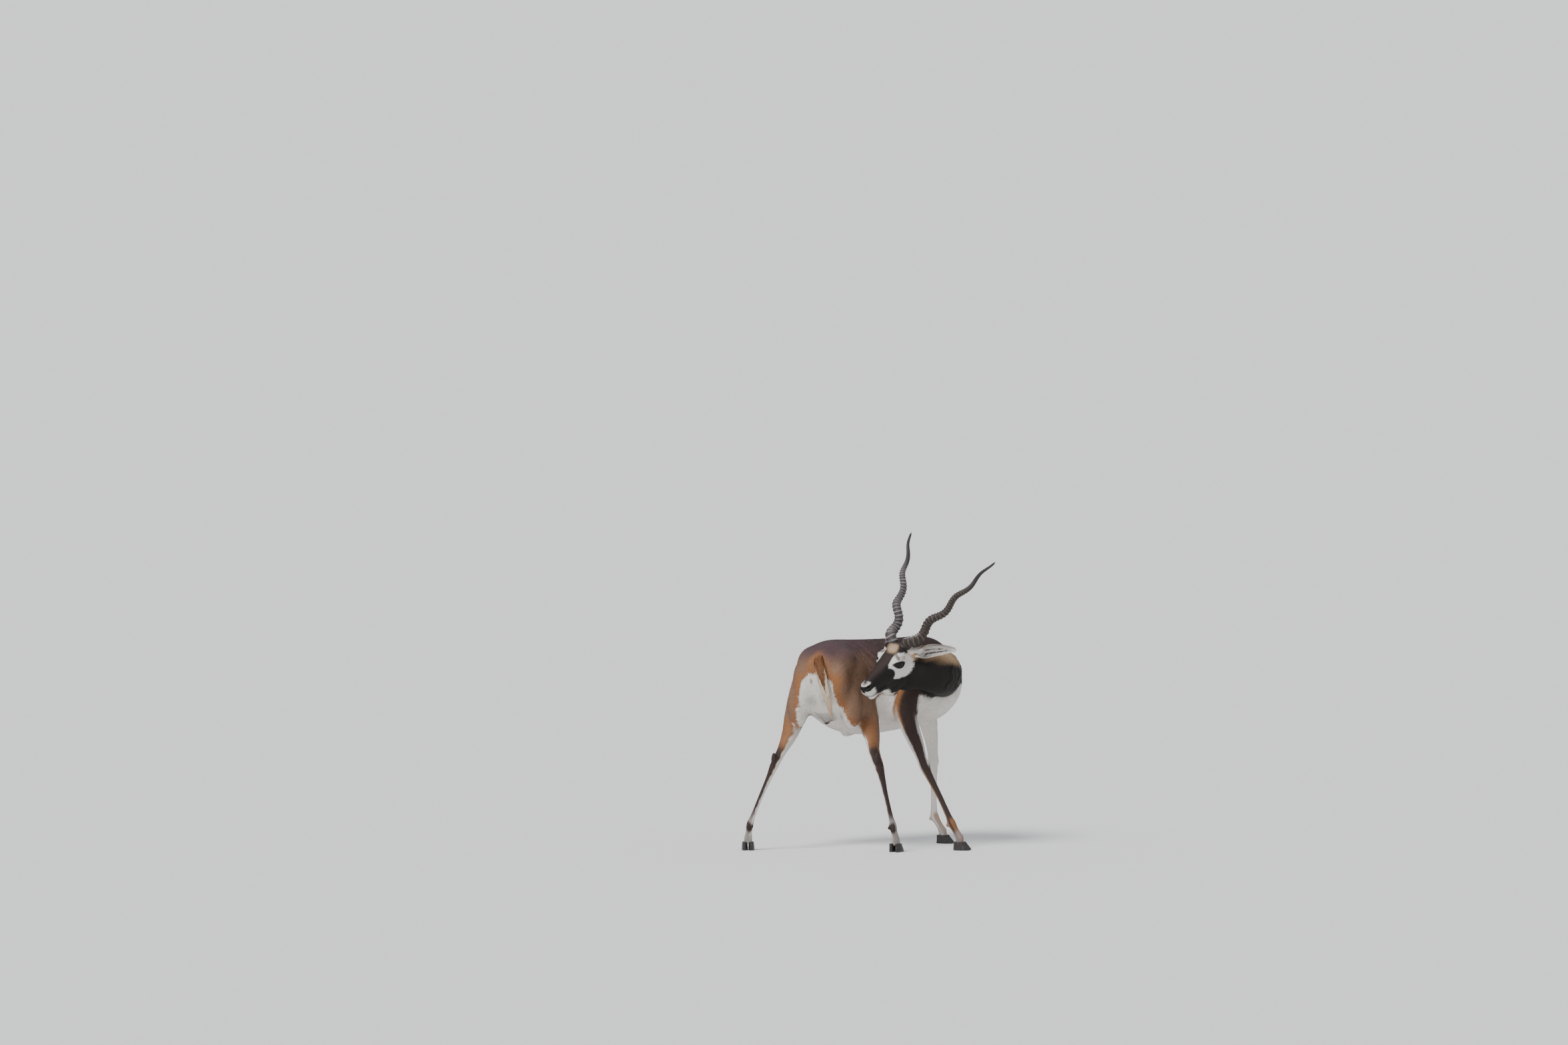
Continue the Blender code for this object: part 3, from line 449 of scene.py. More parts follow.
    def carve(self, points: Array, normals: Array) -> Array:
        """Sculpt mouth, nostrils, gland slits, bones of the face, lids and eye sockets.

        Soft furrows and ridges are Gaussian bumps along the normals, and round each eye the skin
        is drawn onto spheres: the lids lie just outside the ball, and the socket behind it.

        Args:
            points: the skin's points, in the frame of the pose.
            normals: their normals.

        Returns:
            The new points.
        """
        full = self.local(points)
        local = full * (1, 1, 1)
        local[:, 0] = np.abs(full[:, 0])
        aside, ahead, up = local.T
        fore = smooth(ahead, -0.10, -0.06)
        along = np.clip((ahead - 0.066) / 0.072, 0, 1)
        mouth = -0.0350 + 0.0090 * np.sin(along * np.pi / 2)
        on_mouth = smooth(ahead, 0.060, 0.070) * (ahead < 0.150)
        lift = -0.0042 * np.exp(-(((up - mouth) / 0.0013) ** 2)) * on_mouth
        lift += 0.0013 * np.exp(-(((up - mouth - 0.0042) / 0.0026) ** 2)) * on_mouth
        lift += 0.0011 * np.exp(-(((up - mouth + 0.0040) / 0.0024) ** 2)) * on_mouth
        for step in np.linspace(0, 1, 7):
            place = (0.0090 + 0.0090 * step, 0.1385 - 0.0160 * step, 0.0040 + 0.0045 * np.sin(step * 2.4))
            lift -= 0.0040 * bump_at(local, place, (0.0050, 0.0030, 0.0024))
        lift += 0.0017 * bump_at(local, (0.0130, 0.1320, 0.0140), (0.0090, 0.0090, 0.0036))
        lift += 0.0012 * bump_at(local, (0.0160, 0.1290, -0.0025), (0.0080, 0.0080, 0.0036))
        lift -= 0.0020 * np.exp(-((aside / 0.0010) ** 2)) * smooth(ahead, 0.128, 0.136) * (up < 0.002)
        lift -= 0.0034 * bump_at(local, (0.0360, 0.0400, -0.0035), (0.0200, 0.0095, 0.0022))
        lift += 0.0016 * bump_at(local, (0.0360, 0.0400, 0.0025), (0.0200, 0.0110, 0.0034))
        lift += 0.0030 * bump_at(local, (0.0450, -0.0200, -0.0260), (0.0200, 0.0420, 0.0075))
        lift -= 0.0030 * bump_at(local, (0.0400, 0.0350, -0.0360), (0.0200, 0.0300, 0.0130))
        lift -= 0.0030 * bump_at(local, (0.0350, -0.0380, 0.0150), (0.0160, 0.0100, 0.0120))
        lift -= 0.0022 * bump_at(local, (0.0200, 0.0850, 0.0080), (0.0090, 0.0330, 0.0090))
        lift += 0.0016 * bump_at(local, (0.0, 0.0900, 0.0200), (0.0075, 0.0450, 0.0300))
        points = points + normals * (lift * fore)[:, None]
        for side in SIDES.values():
            out, long, over = self.eye_axes(side)
            beside = self.local(points) - self.eye_middle(side)
            reach = np.linalg.norm(beside, axis=1)
            way = beside / reach[:, None]
            level, upright = beside @ long, beside @ over
            half, high = self.eye_opening
            arch = high * np.clip(1 - (np.abs(level) / half) ** 2, 0, 1) ** 0.95
            edge = np.where(np.abs(level) < half, np.abs(upright) - arch, np.hypot(np.abs(level) - half, upright))
            near = (beside @ out > 0.002) & (reach < 0.036)
            ball = self.eye_radius
            lid = ball + 0.0012 + 0.0011 * np.exp(-(((edge - 0.0016) / 0.0016) ** 2))
            lid -= 0.0009 * np.exp(-(((edge - 0.0058) / 0.0012) ** 2)) * (upright > 0)
            want = np.where(edge < 0, ball * 0.86, lid)
            share = np.where(edge < 0, 1.0, 1 - smooth(edge, 0.0035, 0.0105))
            moved = way * (reach + (want - reach) * share * near)[:, None] + self.eye_middle(side)
            points = np.where(near[:, None], np.array(self.middle) + moved @ self.axes, points)
        return points


@dataclass(frozen=True)
class Limb:
    """One leg from deep in the body to the coronet: points, half width and half depth in rows."""

    name: str
    toe_heading: float
    rows: tuple
    sunk: float = 0.009

    @property
    def side(self) -> int:
        """Plus one for a right leg, minus one for a left one."""
        return SIDES[self.name.split("_")[1]]

    @property
    def hind(self) -> bool:
        """Whether this is a hind leg."""
        return self.name.startswith("hind")

    def joint(self, row: int) -> Array:
        """The place of one row."""
        return np.array(self.rows[row][:3])

    def frames(self, first: int, count: int) -> tuple[Array, Array, Array, Array]:
        """Rows of points and sizes, with the tangent, the direction ahead and the one across."""
        rows = curve_through(self.rows[first:], count)
        tangent = units(np.gradient(rows[:, :3], axis=0))
        ahead = turned(self.toe_heading)[1]
        depth = units(ahead - tangent * (tangent @ ahead)[:, None])
        return rows, tangent, depth, np.cross(depth, tangent)

    def form(self, first: int = 0) -> Mesh:
        """The leg, or what is below one of its rows, as ellipses."""
        rows, _, depth, across = self.frames(first, 60)
        grid = rings(rows[:, :3], across, depth, rows[:, 3], rows[:, 4], rows[:, 4], 24)
        grid[-1, :, 2] = HOOF_TOP - self.sunk
        return closed_mesh(grid)


STIFLE, HOCK, FETLOCK = 3, 6, 10
ELBOW, CARPUS = 2, 6
LIMBS = (
    Limb("hind_right", 26.0, (
        (0.078, 0.080, 0.655, 0.0180, 0.0360),
        (0.105, 0.098, 0.590, 0.0480, 0.0740),
        (0.135, 0.130, 0.500, 0.0480, 0.0800),
        (0.155, 0.140, 0.440, 0.0380, 0.0600),
        (0.174, 0.086, 0.385, 0.0240, 0.0420),
        (0.184, 0.041, 0.335, 0.0155, 0.0290),
        (0.200, 0.006, 0.288, 0.0150, 0.0230),
        (0.210, 0.004, 0.250, 0.0115, 0.0165),
        (0.223, 0.006, 0.190, 0.0088, 0.0118),
        (0.239, 0.010, 0.120, 0.0090, 0.0120),
        (0.246, 0.014, 0.090, 0.0130, 0.0155),
        (0.252, 0.028, 0.062, 0.0115, 0.0125),
        (0.257, 0.042, 0.036, 0.0155, 0.0155),
    )),
    Limb("hind_left", 2.0, (
        (-0.006, 0.115, 0.655, 0.0180, 0.0360),
        (-0.026, 0.140, 0.590, 0.0480, 0.0740),
        (-0.056, 0.165, 0.500, 0.0460, 0.0800),
        (-0.075, 0.175, 0.440, 0.0390, 0.0620),
        (-0.095, 0.129, 0.380, 0.0280, 0.0420),
        (-0.121, 0.088, 0.330, 0.0175, 0.0290),
        (-0.146, 0.062, 0.283, 0.0150, 0.0230),
        (-0.161, 0.064, 0.247, 0.0115, 0.0165),
        (-0.187, 0.068, 0.188, 0.0088, 0.0118),
        (-0.214, 0.073, 0.120, 0.0090, 0.0120),
        (-0.225, 0.077, 0.090, 0.0130, 0.0155),
        (-0.229, 0.092, 0.062, 0.0115, 0.0125),
        (-0.232, 0.107, 0.036, 0.0155, 0.0155),
    )),
    Limb("fore_right", 104.0, (
        (0.336, 0.225, 0.620, 0.0150, 0.0360),
        (0.318, 0.175, 0.540, 0.0360, 0.0600),
        (0.290, 0.168, 0.470, 0.0360, 0.0460),
        (0.303, 0.162, 0.405, 0.0280, 0.0340),
        (0.325, 0.154, 0.350, 0.0210, 0.0275),
        (0.341, 0.149, 0.305, 0.0165, 0.0195),
        (0.352, 0.146, 0.275, 0.0165, 0.0185),
        (0.366, 0.141, 0.245, 0.0120, 0.0145),
        (0.400, 0.128, 0.180, 0.0092, 0.0112),
        (0.430, 0.116, 0.115, 0.0092, 0.0115),
        (0.441, 0.111, 0.090, 0.0130, 0.0150),
        (0.456, 0.106, 0.062, 0.0115, 0.0122),
        (0.471, 0.102, 0.036, 0.0155, 0.0155),
    )),
    Limb("fore_left", 104.0, (
        (0.366, 0.312, 0.620, 0.0150, 0.0360),
        (0.370, 0.330, 0.540, 0.0380, 0.0600),
        (0.362, 0.340, 0.470, 0.0360, 0.0460),
        (0.366, 0.342, 0.405, 0.0280, 0.0340),
        (0.376, 0.345, 0.350, 0.0210, 0.0255),
        (0.381, 0.346, 0.305, 0.0165, 0.0190),
        (0.383, 0.347, 0.275, 0.0165, 0.0185),
        (0.384, 0.348, 0.245, 0.0120, 0.0145),
        (0.385, 0.350, 0.180, 0.0090, 0.0110),
        (0.386, 0.352, 0.115, 0.0092, 0.0115),
        (0.388, 0.353, 0.090, 0.0130, 0.0150),
        (0.403, 0.352, 0.062, 0.0115, 0.0122),
        (0.418, 0.350, 0.036, 0.0155, 0.0155),
    )),
)

TRUNK = Trunk()
NECK = Neck()
HEAD = Head()
HOOF_TOP = 0.028


def pose_shift() -> Array:
    """How far the model stands from the frame of the pose, found from the left eye's solid."""
    low, high = (np.array(corner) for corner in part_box("eye_left"))
    return ((low + high) / 2 - HEAD.place(*HEAD.eye_middle(-1))) * (1, 1, 0)


SHIFT = pose_shift()


def put(mesh: Mesh, name: str, finish: Material, replaced: Sequence[str] = (),
        soft: bool = True) -> Thing:
    """Stand a finished mesh in the model.

    Args:
        mesh: the mesh, in the frame of the pose.
        name: the piece's name.
        finish: its material.
        replaced: the solids that it stands for.
        soft: whether its faces are shaded as one smooth surface.

    Returns:
        The piece.
    """
    move(mesh, read(mesh) + SHIFT)
    mesh.materials.clear()
    mesh.materials.append(finish)
    mesh.polygons.foreach_set("use_smooth", np.full(len(mesh.polygons), soft))
    thing = bpy.data.objects.new(name, mesh)
    bpy.context.collection.objects.link(thing)
    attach(thing, "root")
    if replaced:
        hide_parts(*replaced)
    mesh.calc_loop_triangles()
    LOG.info("%s: %d triangles", name, len(mesh.loop_triangles))
    return thing


@dataclass(frozen=True)
class Line:
    """The middle line of one part of the body, the lie of its hair, and its place on the unwrap.

    Points beside the line are told by their angle round it, which starts from the direction
    called above: up on trunk, neck and head, and ahead on the legs.
    """

    name: str
    points: Array
    radii: Array
    above: Array
    lie: Array
    cell: tuple

    def near(self, points: Array) -> tuple[Array, Array, Array, Array, Array]:
        """Find the sample of the line with the least distance over its radius.

        Args:
            points: places on the body.

        Returns:
            That quotient, the sample, the share along, and how far above and to the right.
        """
        squared = (points**2).sum(axis=1)[:, None] + (self.points**2).sum(axis=1)
        away = np.sqrt(np.maximum(squared - 2 * points @ self.points.T, 0)) / self.radii
        nearest = away.argmin(axis=1)
        pace = np.gradient(self.points, axis=0)
        forward = units(pace)
        above = units(self.above - forward * (self.above * forward).sum(axis=1, keepdims=True))
        right = np.cross(forward, above)
        beside = (points - self.points[nearest]) / self.radii[nearest, None]
        step = np.linalg.norm(pace, axis=1) / self.radii
        past = np.clip((beside * forward[nearest]).sum(axis=1) / step[nearest], -0.5, 0.5)
        share = np.clip((nearest + past) / (len(self.points) - 1), 0, 1)
        return (away.min(axis=1), nearest, share, (beside * above[nearest]).sum(axis=1),
                (beside * right[nearest]).sum(axis=1))


def body_lines() -> list[Line]:
    """The middle lines of trunk, neck, head and legs, with the cell of each on the unwrap."""
    sizes = curve_through(TRUNK.rows, 60)
    spots, headings = TRUNK.spine(sizes[:, 0])
    forward = np.column_stack([np.sin(np.radians(headings)), np.cos(np.radians(headings)), 0 * headings])
    radii = (sizes[:, 3] + (sizes[:, 1] - sizes[:, 2]) / 2) / 2
    centres = np.column_stack([spots, (sizes[:, 1] + sizes[:, 2]) / 2])
    lines = [Line("trunk", centres, radii, 0 * forward + UP, -forward - 0.55 * UP, (0.0, 0.0, 0.5, 1.0))]
    shares = np.linspace(0, 1, 36)
    points, forward, _, upward = NECK.frames(shares)
    stations = np.linspace(0, 1, len(NECK.half_widths))
    wide, deep = (np.interp(shares, stations, row) for row in (NECK.half_widths, NECK.half_depths))
    lines.append(Line("neck", points, (wide + deep) / 2, upward, -forward, (0.5, 0.0, 0.25, 0.5)))
    sizes = curve_through(HEAD.rows[::-1], 40)[3:-2]
    axes = HEAD.axes
    centres = np.outer(sizes[:, 0], axes[1]) + np.outer((sizes[:, 1] + sizes[:, 2]) / 2, axes[2]) + HEAD.middle
    radii = (sizes[:, 3] + (sizes[:, 1] - sizes[:, 2]) / 2) / 2
    lines.append(Line("head", centres, radii, 0 * centres + axes[2], 0 * centres - axes[1], (0.75, 0.0, 0.25, 0.5)))
    for number, limb in enumerate(LIMBS):
        rows, tangent, depth, _ = limb.frames(1, 56)
        cell = (0.5 + 0.125 * number, 0.5, 0.125, 0.5)
        lines.append(Line(limb.name, rows[:, :3], (rows[:, 3] + rows[:, 4]) / 2, depth, tangent, cell))
    return lines


@dataclass(frozen=True)
class Survey:
    """What is known of points on the body: their weight on each line, and their place beside it."""

    points: Array
    normals: Array
    weight: dict
    share: dict
    above: dict
    right: dict
    lie: Array
    flat: Array

    @staticmethod
    def of(points: Array, normals: Array) -> "Survey":
        """Survey points against every line.

        A line's weight falls as e to the minus seven times its quotient, and the lie of the hair
        is the weighted mean of the lines' own, laid flat on the skin.

        Args:
            points: places on the skin.
            normals: the skin's normals there.

        Returns:
            The survey.
        """
        found = {line.name: line.near(points) for line in LINES}
        least = np.min([item[0] for item in found.values()], axis=0)
        close = {name: np.exp(-7 * (item[0] - least)) for name, item in found.items()}
        total = sum(close.values())
        weight = {name: value / total for name, value in close.items()}
        lie = sum(weight[line.name][:, None] * units(line.lie)[found[line.name][1]] for line in LINES)
        lie = units(lie - normals * (lie * normals).sum(axis=1, keepdims=True))
        main = np.argmax([weight[line.name] for line in LINES], axis=0)
        flat = np.zeros((len(points), 2))
        for number, line in enumerate(LINES):
            _, _, share, above, right = found[line.name]
            left, bottom, width, height = line.cell
            turn = np.arctan2(right, above) / (2 * np.pi) + 0.5
            spot = np.stack([left + width * (0.02 + 0.96 * turn), bottom + height * (0.01 + 0.98 * share)], axis=1)
            flat = np.where((main == number)[:, None], spot, flat)
        share, above, right = ({name: item[k] for name, item in found.items()} for k in (2, 3, 4))
        return Survey(points, normals, weight, share, above, right, lie, flat)


LINES = body_lines()


def waver(points: Array, size: float, seed: int) -> Array:
    """Smooth noise of about plus or minus one: a sum of sines along eight random directions."""
    rng = np.random.default_rng(seed)
    waves = rng.normal(size=(8, 3)) / size
    return np.sin(points @ waves.T + rng.uniform(0, 2 * np.pi, 8)).sum(axis=1) / 3


def lay(colours: Array, colour: Sequence[float], mask: Array) -> None:
    """Lay a colour over others where its mask is one: each moves towards it by the mask."""
    colours += (np.asarray(colour) - colours) * np.clip(mask, 0, 1)[:, None]


@dataclass(frozen=True)
class Markings:
    """The coat's colours over the whole animal, the same for skin and tufts.

    The edge of the belly gives heights along the trunk, and the edge of the rump patch gives
    half widths at heights.
    """

    back: tuple = (0.080, 0.046, 0.050)
    black: tuple = (0.0105, 0.0080, 0.0070)
    umber: tuple = (0.040, 0.025, 0.021)
    brown: tuple = (0.205, 0.118, 0.074)
    rust: tuple = (0.275, 0.118, 0.048)
    tan: tuple = (0.400, 0.260, 0.150)
    grey: tuple = (0.290, 0.255, 0.235)
    white: tuple = (0.680, 0.640, 0.590)
    bare: tuple = (0.010, 0.008, 0.008)
    belly_edge: tuple = (
        (-0.02, 0.420), (0.23, 0.430), (0.28, 0.490), (0.33, 0.512), (0.43, 0.518), (0.55, 0.522), (0.64, 0.552),
    )
    rump_edge: tuple = (
        (0.350, 0.152), (0.370, 0.137), (0.396, 0.125), (0.419, 0.107), (0.432, 0.094), (0.450, 0.082),
        (0.480, 0.075), (0.520, 0.069), (0.552, 0.063), (0.580, 0.052), (0.600, 0.028), (0.607, 0.004),
        (0.640, -0.006), (0.664, -0.030),
    )

    def paint(self, survey: Survey) -> Array:
        """Lay the colours part by part.

        Args:
            survey: the points to paint.

        Returns:
            A colour for each point.
        """
        colours = np.tile(self.back, (len(survey.points), 1))
        height = survey.points[:, 2] + 0.003 * waver(survey.points, 0.012, 1)
        self.body(colours, survey, height)
        self.neck(colours, survey, height)
        for limb in LIMBS:
            self.leg(colours, survey, limb)
        self.rump(colours, survey, height)
        self.face(colours, survey)
        return colours

    def body(self, colours: Array, survey: Survey, height: Array) -> None:
        """Purple brown back, brown flank, darker ahead of it, and a white belly."""
        ahead = survey.share["trunk"] * (TRUNK.rows[-1][0] - TRUNK.rows[0][0]) + TRUNK.rows[0][0]
        lay(colours, self.umber, smooth(ahead, 0.24, 0.42))
        lay(colours, self.brown, (1 - smooth(height, 0.615, 0.680)) * (1 - smooth(ahead, 0.22, 0.36)))
        edge = np.interp(ahead, *zip(*self.belly_edge))
        lay(colours, self.rust, 0.5 * (1 - smooth(height, edge, edge + 0.05)) * (1 - smooth(ahead, 0.30, 0.44)))
        lay(colours, self.white, 1 - smooth(height, edge - 0.005, edge + 0.005))

    def neck(self, colours: Array, survey: Survey, height: Array) -> None:
        """A black neck with a tawny nape, laid on the neck's upper side as nape colour and painted highlight, over a
        white chest.
        """
        on, share = survey.weight["neck"], survey.share["neck"]
        lay(colours, self.black, smooth(on, 0.10, 0.55))
        # The tan over the neck's upper side is the nape's colour and also a painted highlight where light falls on the
        # top of the neck.
        nape = smooth(survey.above["neck"] + 0.15 * waver(survey.points, 0.02, 2), 0.20, 0.75)
        lay(colours, self.tan, 0.90 * on * nape * smooth(share + 0.03 * waver(survey.points, 0.02, 12), 0.30, 0.72))
        edge = 0.552 - 0.110 * smooth(share, 0.08, 0.30)
        lay(colours, self.white, smooth(on, 0.10, 0.50) * (1 - smooth(height, edge - 0.005, edge + 0.005)))

    def leg(self, colours: Array, survey: Survey, limb: Limb) -> None:
        """Rust or dark outside and white inside, with a dark stripe at the hock or the knee."""
        on = smooth(survey.weight[limb.name], 0.30, 0.62)
        row = 1 + survey.share[limb.name] * (len(limb.rows) - 2) + 0.10 * waver(survey.points, 0.01, 3)
        front = survey.above[limb.name]
        out = survey.right[limb.name] * limb.side + 0.08 * waver(survey.points, 0.008, 4)
        if limb.hind:
            lay(colours, self.brown, on * smooth(row, 0.8, 2.2))
            lay(colours, self.rust, 0.80 * on * smooth(row, 2.6, 3.9) * smooth(-front, -0.6, 0.3))
            lay(colours, self.grey, on * smooth(row, 6.4, 7.4))
            inner = (1.2, 2.0) if limb.side > 0 else (3.3, 3.8)
            lay(colours, self.white, on * smooth(-out, 0.10, 0.35) * smooth(row, *inner))
            lay(colours, self.umber, on * smooth(row, 4.5, 5.3) * (1 - smooth(row, 8.6, 9.6))
                * smooth(0.85 * out - 0.5 * front, 0.30, 0.55))
            lay(colours, self.umber, on * smooth(row, 9.4, 9.9) * (1 - smooth(row, 10.4, 10.9)) * smooth(-front, 0.1, 0.6))
        else:
            lay(colours, self.umber, on)
            lay(colours, self.rust, on * smooth(-front, 0.15, 0.55) * (1 - smooth(row, 2.4, 3.3)))
            lay(colours, self.white, on * smooth(-out, -0.10, 0.20) * smooth(row, 0.8, 1.8))
            lay(colours, self.white, on * smooth(-front, 0.40, 0.70) * smooth(row, 1.8, 2.8) * (1 - smooth(row, 5.5, 7.5)))
            lay(colours, self.tan, 0.6 * on * smooth(-front, 0.35, 0.70) * smooth(row, 5.5, 7.0))
            lay(colours, self.white, 0.8 * on * smooth(front, 0.74, 0.92) * smooth(row, 2.2, 3.0) * (1 - smooth(row, 5.6, 6.6)))
            lay(colours, self.rust, 0.7 * on * smooth(row, 9.0, 9.8) * smooth(front, -0.2, 0.2))
        lay(colours, self.grey, 0.6 * on * smooth(row, 10.6, 11.4))

    def rump(self, colours: Array, survey: Survey, height: Array) -> None:
        """White buttocks round the tail, edged with rust, with painted shade under the tail and in the crease between
        the buttocks, and the scrotum.
        """
        right, ahead, _ = (survey.points @ turned(TRUNK.pelvis_heading).T).T
        waves = 0.003 * waver(survey.points, 0.009, 5)
        edge = np.interp(height, *zip(*self.rump_edge))
        edge = np.where(right < 0, np.minimum(edge, 0.075), edge)
        past = np.abs(right) - edge + waves
        behind = 1 - smooth(ahead + 3 * waves, 0.07, 0.13)
        high = 1 - smooth(height, 0.658, 0.680)
        reach = 0.012 + 0.012 * smooth(height, 0.54, 0.60)
        band = 1 - smooth(past, reach, 2.6 * reach)
        lay(colours, self.rust, 0.95 * band * behind * high * smooth(height, 0.37, 0.42))
        inside = 1 - smooth(past, -0.003, 0.003)
        lay(colours, self.white, inside * behind * (1 - smooth(height, 0.600, 0.608)))
        flat = np.stack([np.abs(right), height], axis=1)
        # Painted shade: umber spots under the tail's root and in the crease between the buttocks beside the tail.
        lay(colours, self.umber, 0.8 * behind * bump_at(flat, (0.021, 0.577), (0.005, 0.008)))
        lay(colours, self.umber, 0.35 * behind * bump_at(flat, (0.022, 0.500), (0.013, 0.034)))
        lay(colours, self.umber, 0.40 * behind * bump_at(flat, (0.034, 0.466), (0.010, 0.015)))
        groin = (1 - smooth(np.abs(right), 0.060, 0.080)) * (1 - smooth(height, 0.470, 0.500))
        lay(colours, self.white, groin * (1 - smooth(ahead, 0.22, 0.28)))
        low = (1 - smooth(np.abs(right), 0.030, 0.040)) * smooth(ahead, 0.055, 0.065) * (1 - smooth(height, 0.475, 0.495))
        sack = low * (1 - smooth(ahead, 0.112, 0.122))
        lay(colours, self.grey, 0.6 * sack)
        lay(colours, self.umber, sack * (1 - smooth(height, 0.420, 0.432)))

    def face(self, colours: Array, survey: Survey) -> None:
        """Black face, white eye rings, lips and chin, tawny temples and a pale brow."""
        full = HEAD.local(survey.points)
        local = full * (1, 1, 1)
        local[:, 0] = np.abs(full[:, 0])
        local += 0.0012 * waver(survey.points, 0.004, 6)[:, None]
        aside, ahead, up = local.T
        on = smooth(survey.weight["head"], 0.30, 0.60)
        lay(colours, self.black, on)
        lay(colours, self.umber, 0.7 * on * smooth(up, 0.005, 0.03) * (1 - smooth(aside, 0.014, 0.024)))
        temple = bump_at(local, (0.048, -0.060, 0.012), (0.030, 0.026, 0.028))
        lay(colours, self.tan, on * smooth(temple, 0.25, 0.65))
        brow = bump_at(local, (0.0, -0.026, 0.046), (0.024, 0.020, 0.026))
        lay(colours, self.tan, 0.85 * on * smooth(brow, 0.20, 0.60))
        lay(colours, self.white, 0.15 * on * smooth(brow, 0.50, 0.90))
        lay(colours, self.white, 0.85 * smooth(bump_at(local, (0.045, -0.064, 0.030), (0.020, 0.024, 0.018)), 0.3, 0.65))
        for side in SIDES.values():
            self.eye(colours, full, on, side)
        under = smooth(ahead, 0.015, 0.045) * (1 - smooth(aside, 0.016, 0.021))
        lay(colours, self.white, on * under * (1 - smooth(up, -0.0520, -0.0455) * (1 - smooth(ahead, 0.088, 0.112))
                                               ) * (1 - smooth(up, -0.0400, -0.0360)))
        lip = smooth(ahead, 0.104, 0.116) * (1 - smooth(up, -0.0075, -0.0020))
        lay(colours, self.white, on * lip * smooth(up, -0.0330, -0.0300))
        rim = np.exp(-(((up - 0.0142) / 0.0026) ** 2)) * smooth(ahead, 0.110, 0.117)
        lay(colours, self.white, on * rim)
        pad = (1 - smooth(aside, 0.0060, 0.0100)) * smooth(ahead, 0.128, 0.134) * smooth(up, -0.015, -0.013)
        lay(colours, self.bare, on * pad * (1 - smooth(up, 0.0095, 0.0120)))
        along = np.clip((ahead - 0.066) / 0.072, 0, 1)
        mouth = up - (-0.0350 + 0.0090 * np.sin(along * np.pi / 2))
        # Dark bare lip edges along the mouth line, with painted shade in the slit between the lips.
        lay(colours, self.bare, on * np.exp(-((mouth / 0.0022) ** 2)) * smooth(ahead, 0.060, 0.072))
        lay(colours, self.bare, on * smooth(bump_at(local, *HEAD.nostril), 0.3, 0.6))

    def eye(self, colours: Array, full: Array, on: Array, side: int) -> None:
        """Paint round one eye: ring, tear patch, grey upper lid, brow spot and bare rim."""
        out, long, over = HEAD.eye_axes(side)
        beside = full - HEAD.eye_middle(side)
        level, upright = beside @ long, beside @ over
        near = on * smooth(full[:, 0] * side + 0.001 * waver(full, 0.005, 10), 0.0205, 0.0245)
        ring = np.hypot((level + 0.006) / 0.047, (upright + 0.012) / 0.047) + 0.05 * waver(full, 0.006, 7)
        lay(colours, self.white, near * (1 - smooth(ring, 0.90, 1.00)))
        tear = np.hypot((level - 0.036) / 0.019, (upright + 0.030) / 0.023)
        lay(colours, self.black, near * (1 - smooth(tear, 0.90, 1.05)))
        lid = np.hypot((level + 0.011) / 0.016, (upright - 0.017) / 0.008)
        lay(colours, self.grey, 0.7 * near * (1 - smooth(lid, 0.70, 1.10)))
        spot = np.hypot((level - 0.003) / 0.006, (upright - 0.022) / 0.009)
        lay(colours, self.umber, 0.8 * near * (1 - smooth(spot, 0.70, 1.10)))
        lay(colours, self.bare, near * (1 - smooth(HEAD.rim(level, upright), 0.92, 1.06)) * (beside @ out > 0))


MARKINGS = Markings()


BLADE_FACES = np.array((
    (0, 2, 1), (0, 1, 4), (0, 4, 3), (1, 2, 5), (1, 5, 4), (2, 0, 3), (2, 3, 5), (3, 4, 6), (4, 5, 6), (5, 3, 6),
))
BLADE_PATCH = np.array(((-1, -1), (0, -1), (1, -1), (-1, 0), (0, 0), (1, 0), (0, 1))) * 0.0014


def mark(mesh: Mesh, name: str, values: Array) -> None:
    """Keep four numbers for each vertex of a mesh under a name."""
    layer = mesh.attributes.new(name, "FLOAT_COLOR", "POINT")
    layer.data.foreach_set("color", np.ascontiguousarray(values, np.float32).ravel())


@dataclass(frozen=True)
class Blades:
    """Flat three sided tufts: a ring of three at the root, one half way, and a tip."""

    low: Array
    middle: Array
    tip: Array
    upward: Array
    across: Array
    half: Array
    colours: Array
    tone: Array
    flat: Array
    ridge: float = 0.20
    fade: float = 0.05

    def put(self, name: str, finish: Material, slot: str) -> Thing:
        """Stand the tufts in the model, with their colours and their map for baking.

        Args:
            name: the piece's name.
            finish: its material.

        Returns:
            The piece.
        """
        side, ridge = self.across * self.half[:, None], self.upward * self.half[:, None] * self.ridge
        parts = (
            self.low - 0.8 * side, self.low + ridge, self.low + 0.8 * side,
            self.middle - side, self.middle + ridge, self.middle + side, self.tip,
        )
        faces = (BLADE_FACES + len(parts) * np.arange(len(self.low))[:, None, None]).reshape(-1, 3)
        mesh = mesh_of(np.stack(parts, axis=1).reshape(-1, 3), faces)
        values = np.repeat(np.column_stack([self.colours, self.tone])[:, None], len(parts), axis=1)
        values[:, :3, 3] -= self.fade
        values[:, 6, 3] += self.fade
        mark(mesh, "marking", values.reshape(-1, 4))
        corners = (self.flat[:, None] + BLADE_PATCH).reshape(-1, 2)[faces.ravel()]
        layer = mesh.uv_layers.new(name="OFBake")
        layer.data.foreach_set("uv", np.ascontiguousarray(corners, np.float32).ravel())
        return put(mesh, name, finish, soft=False)


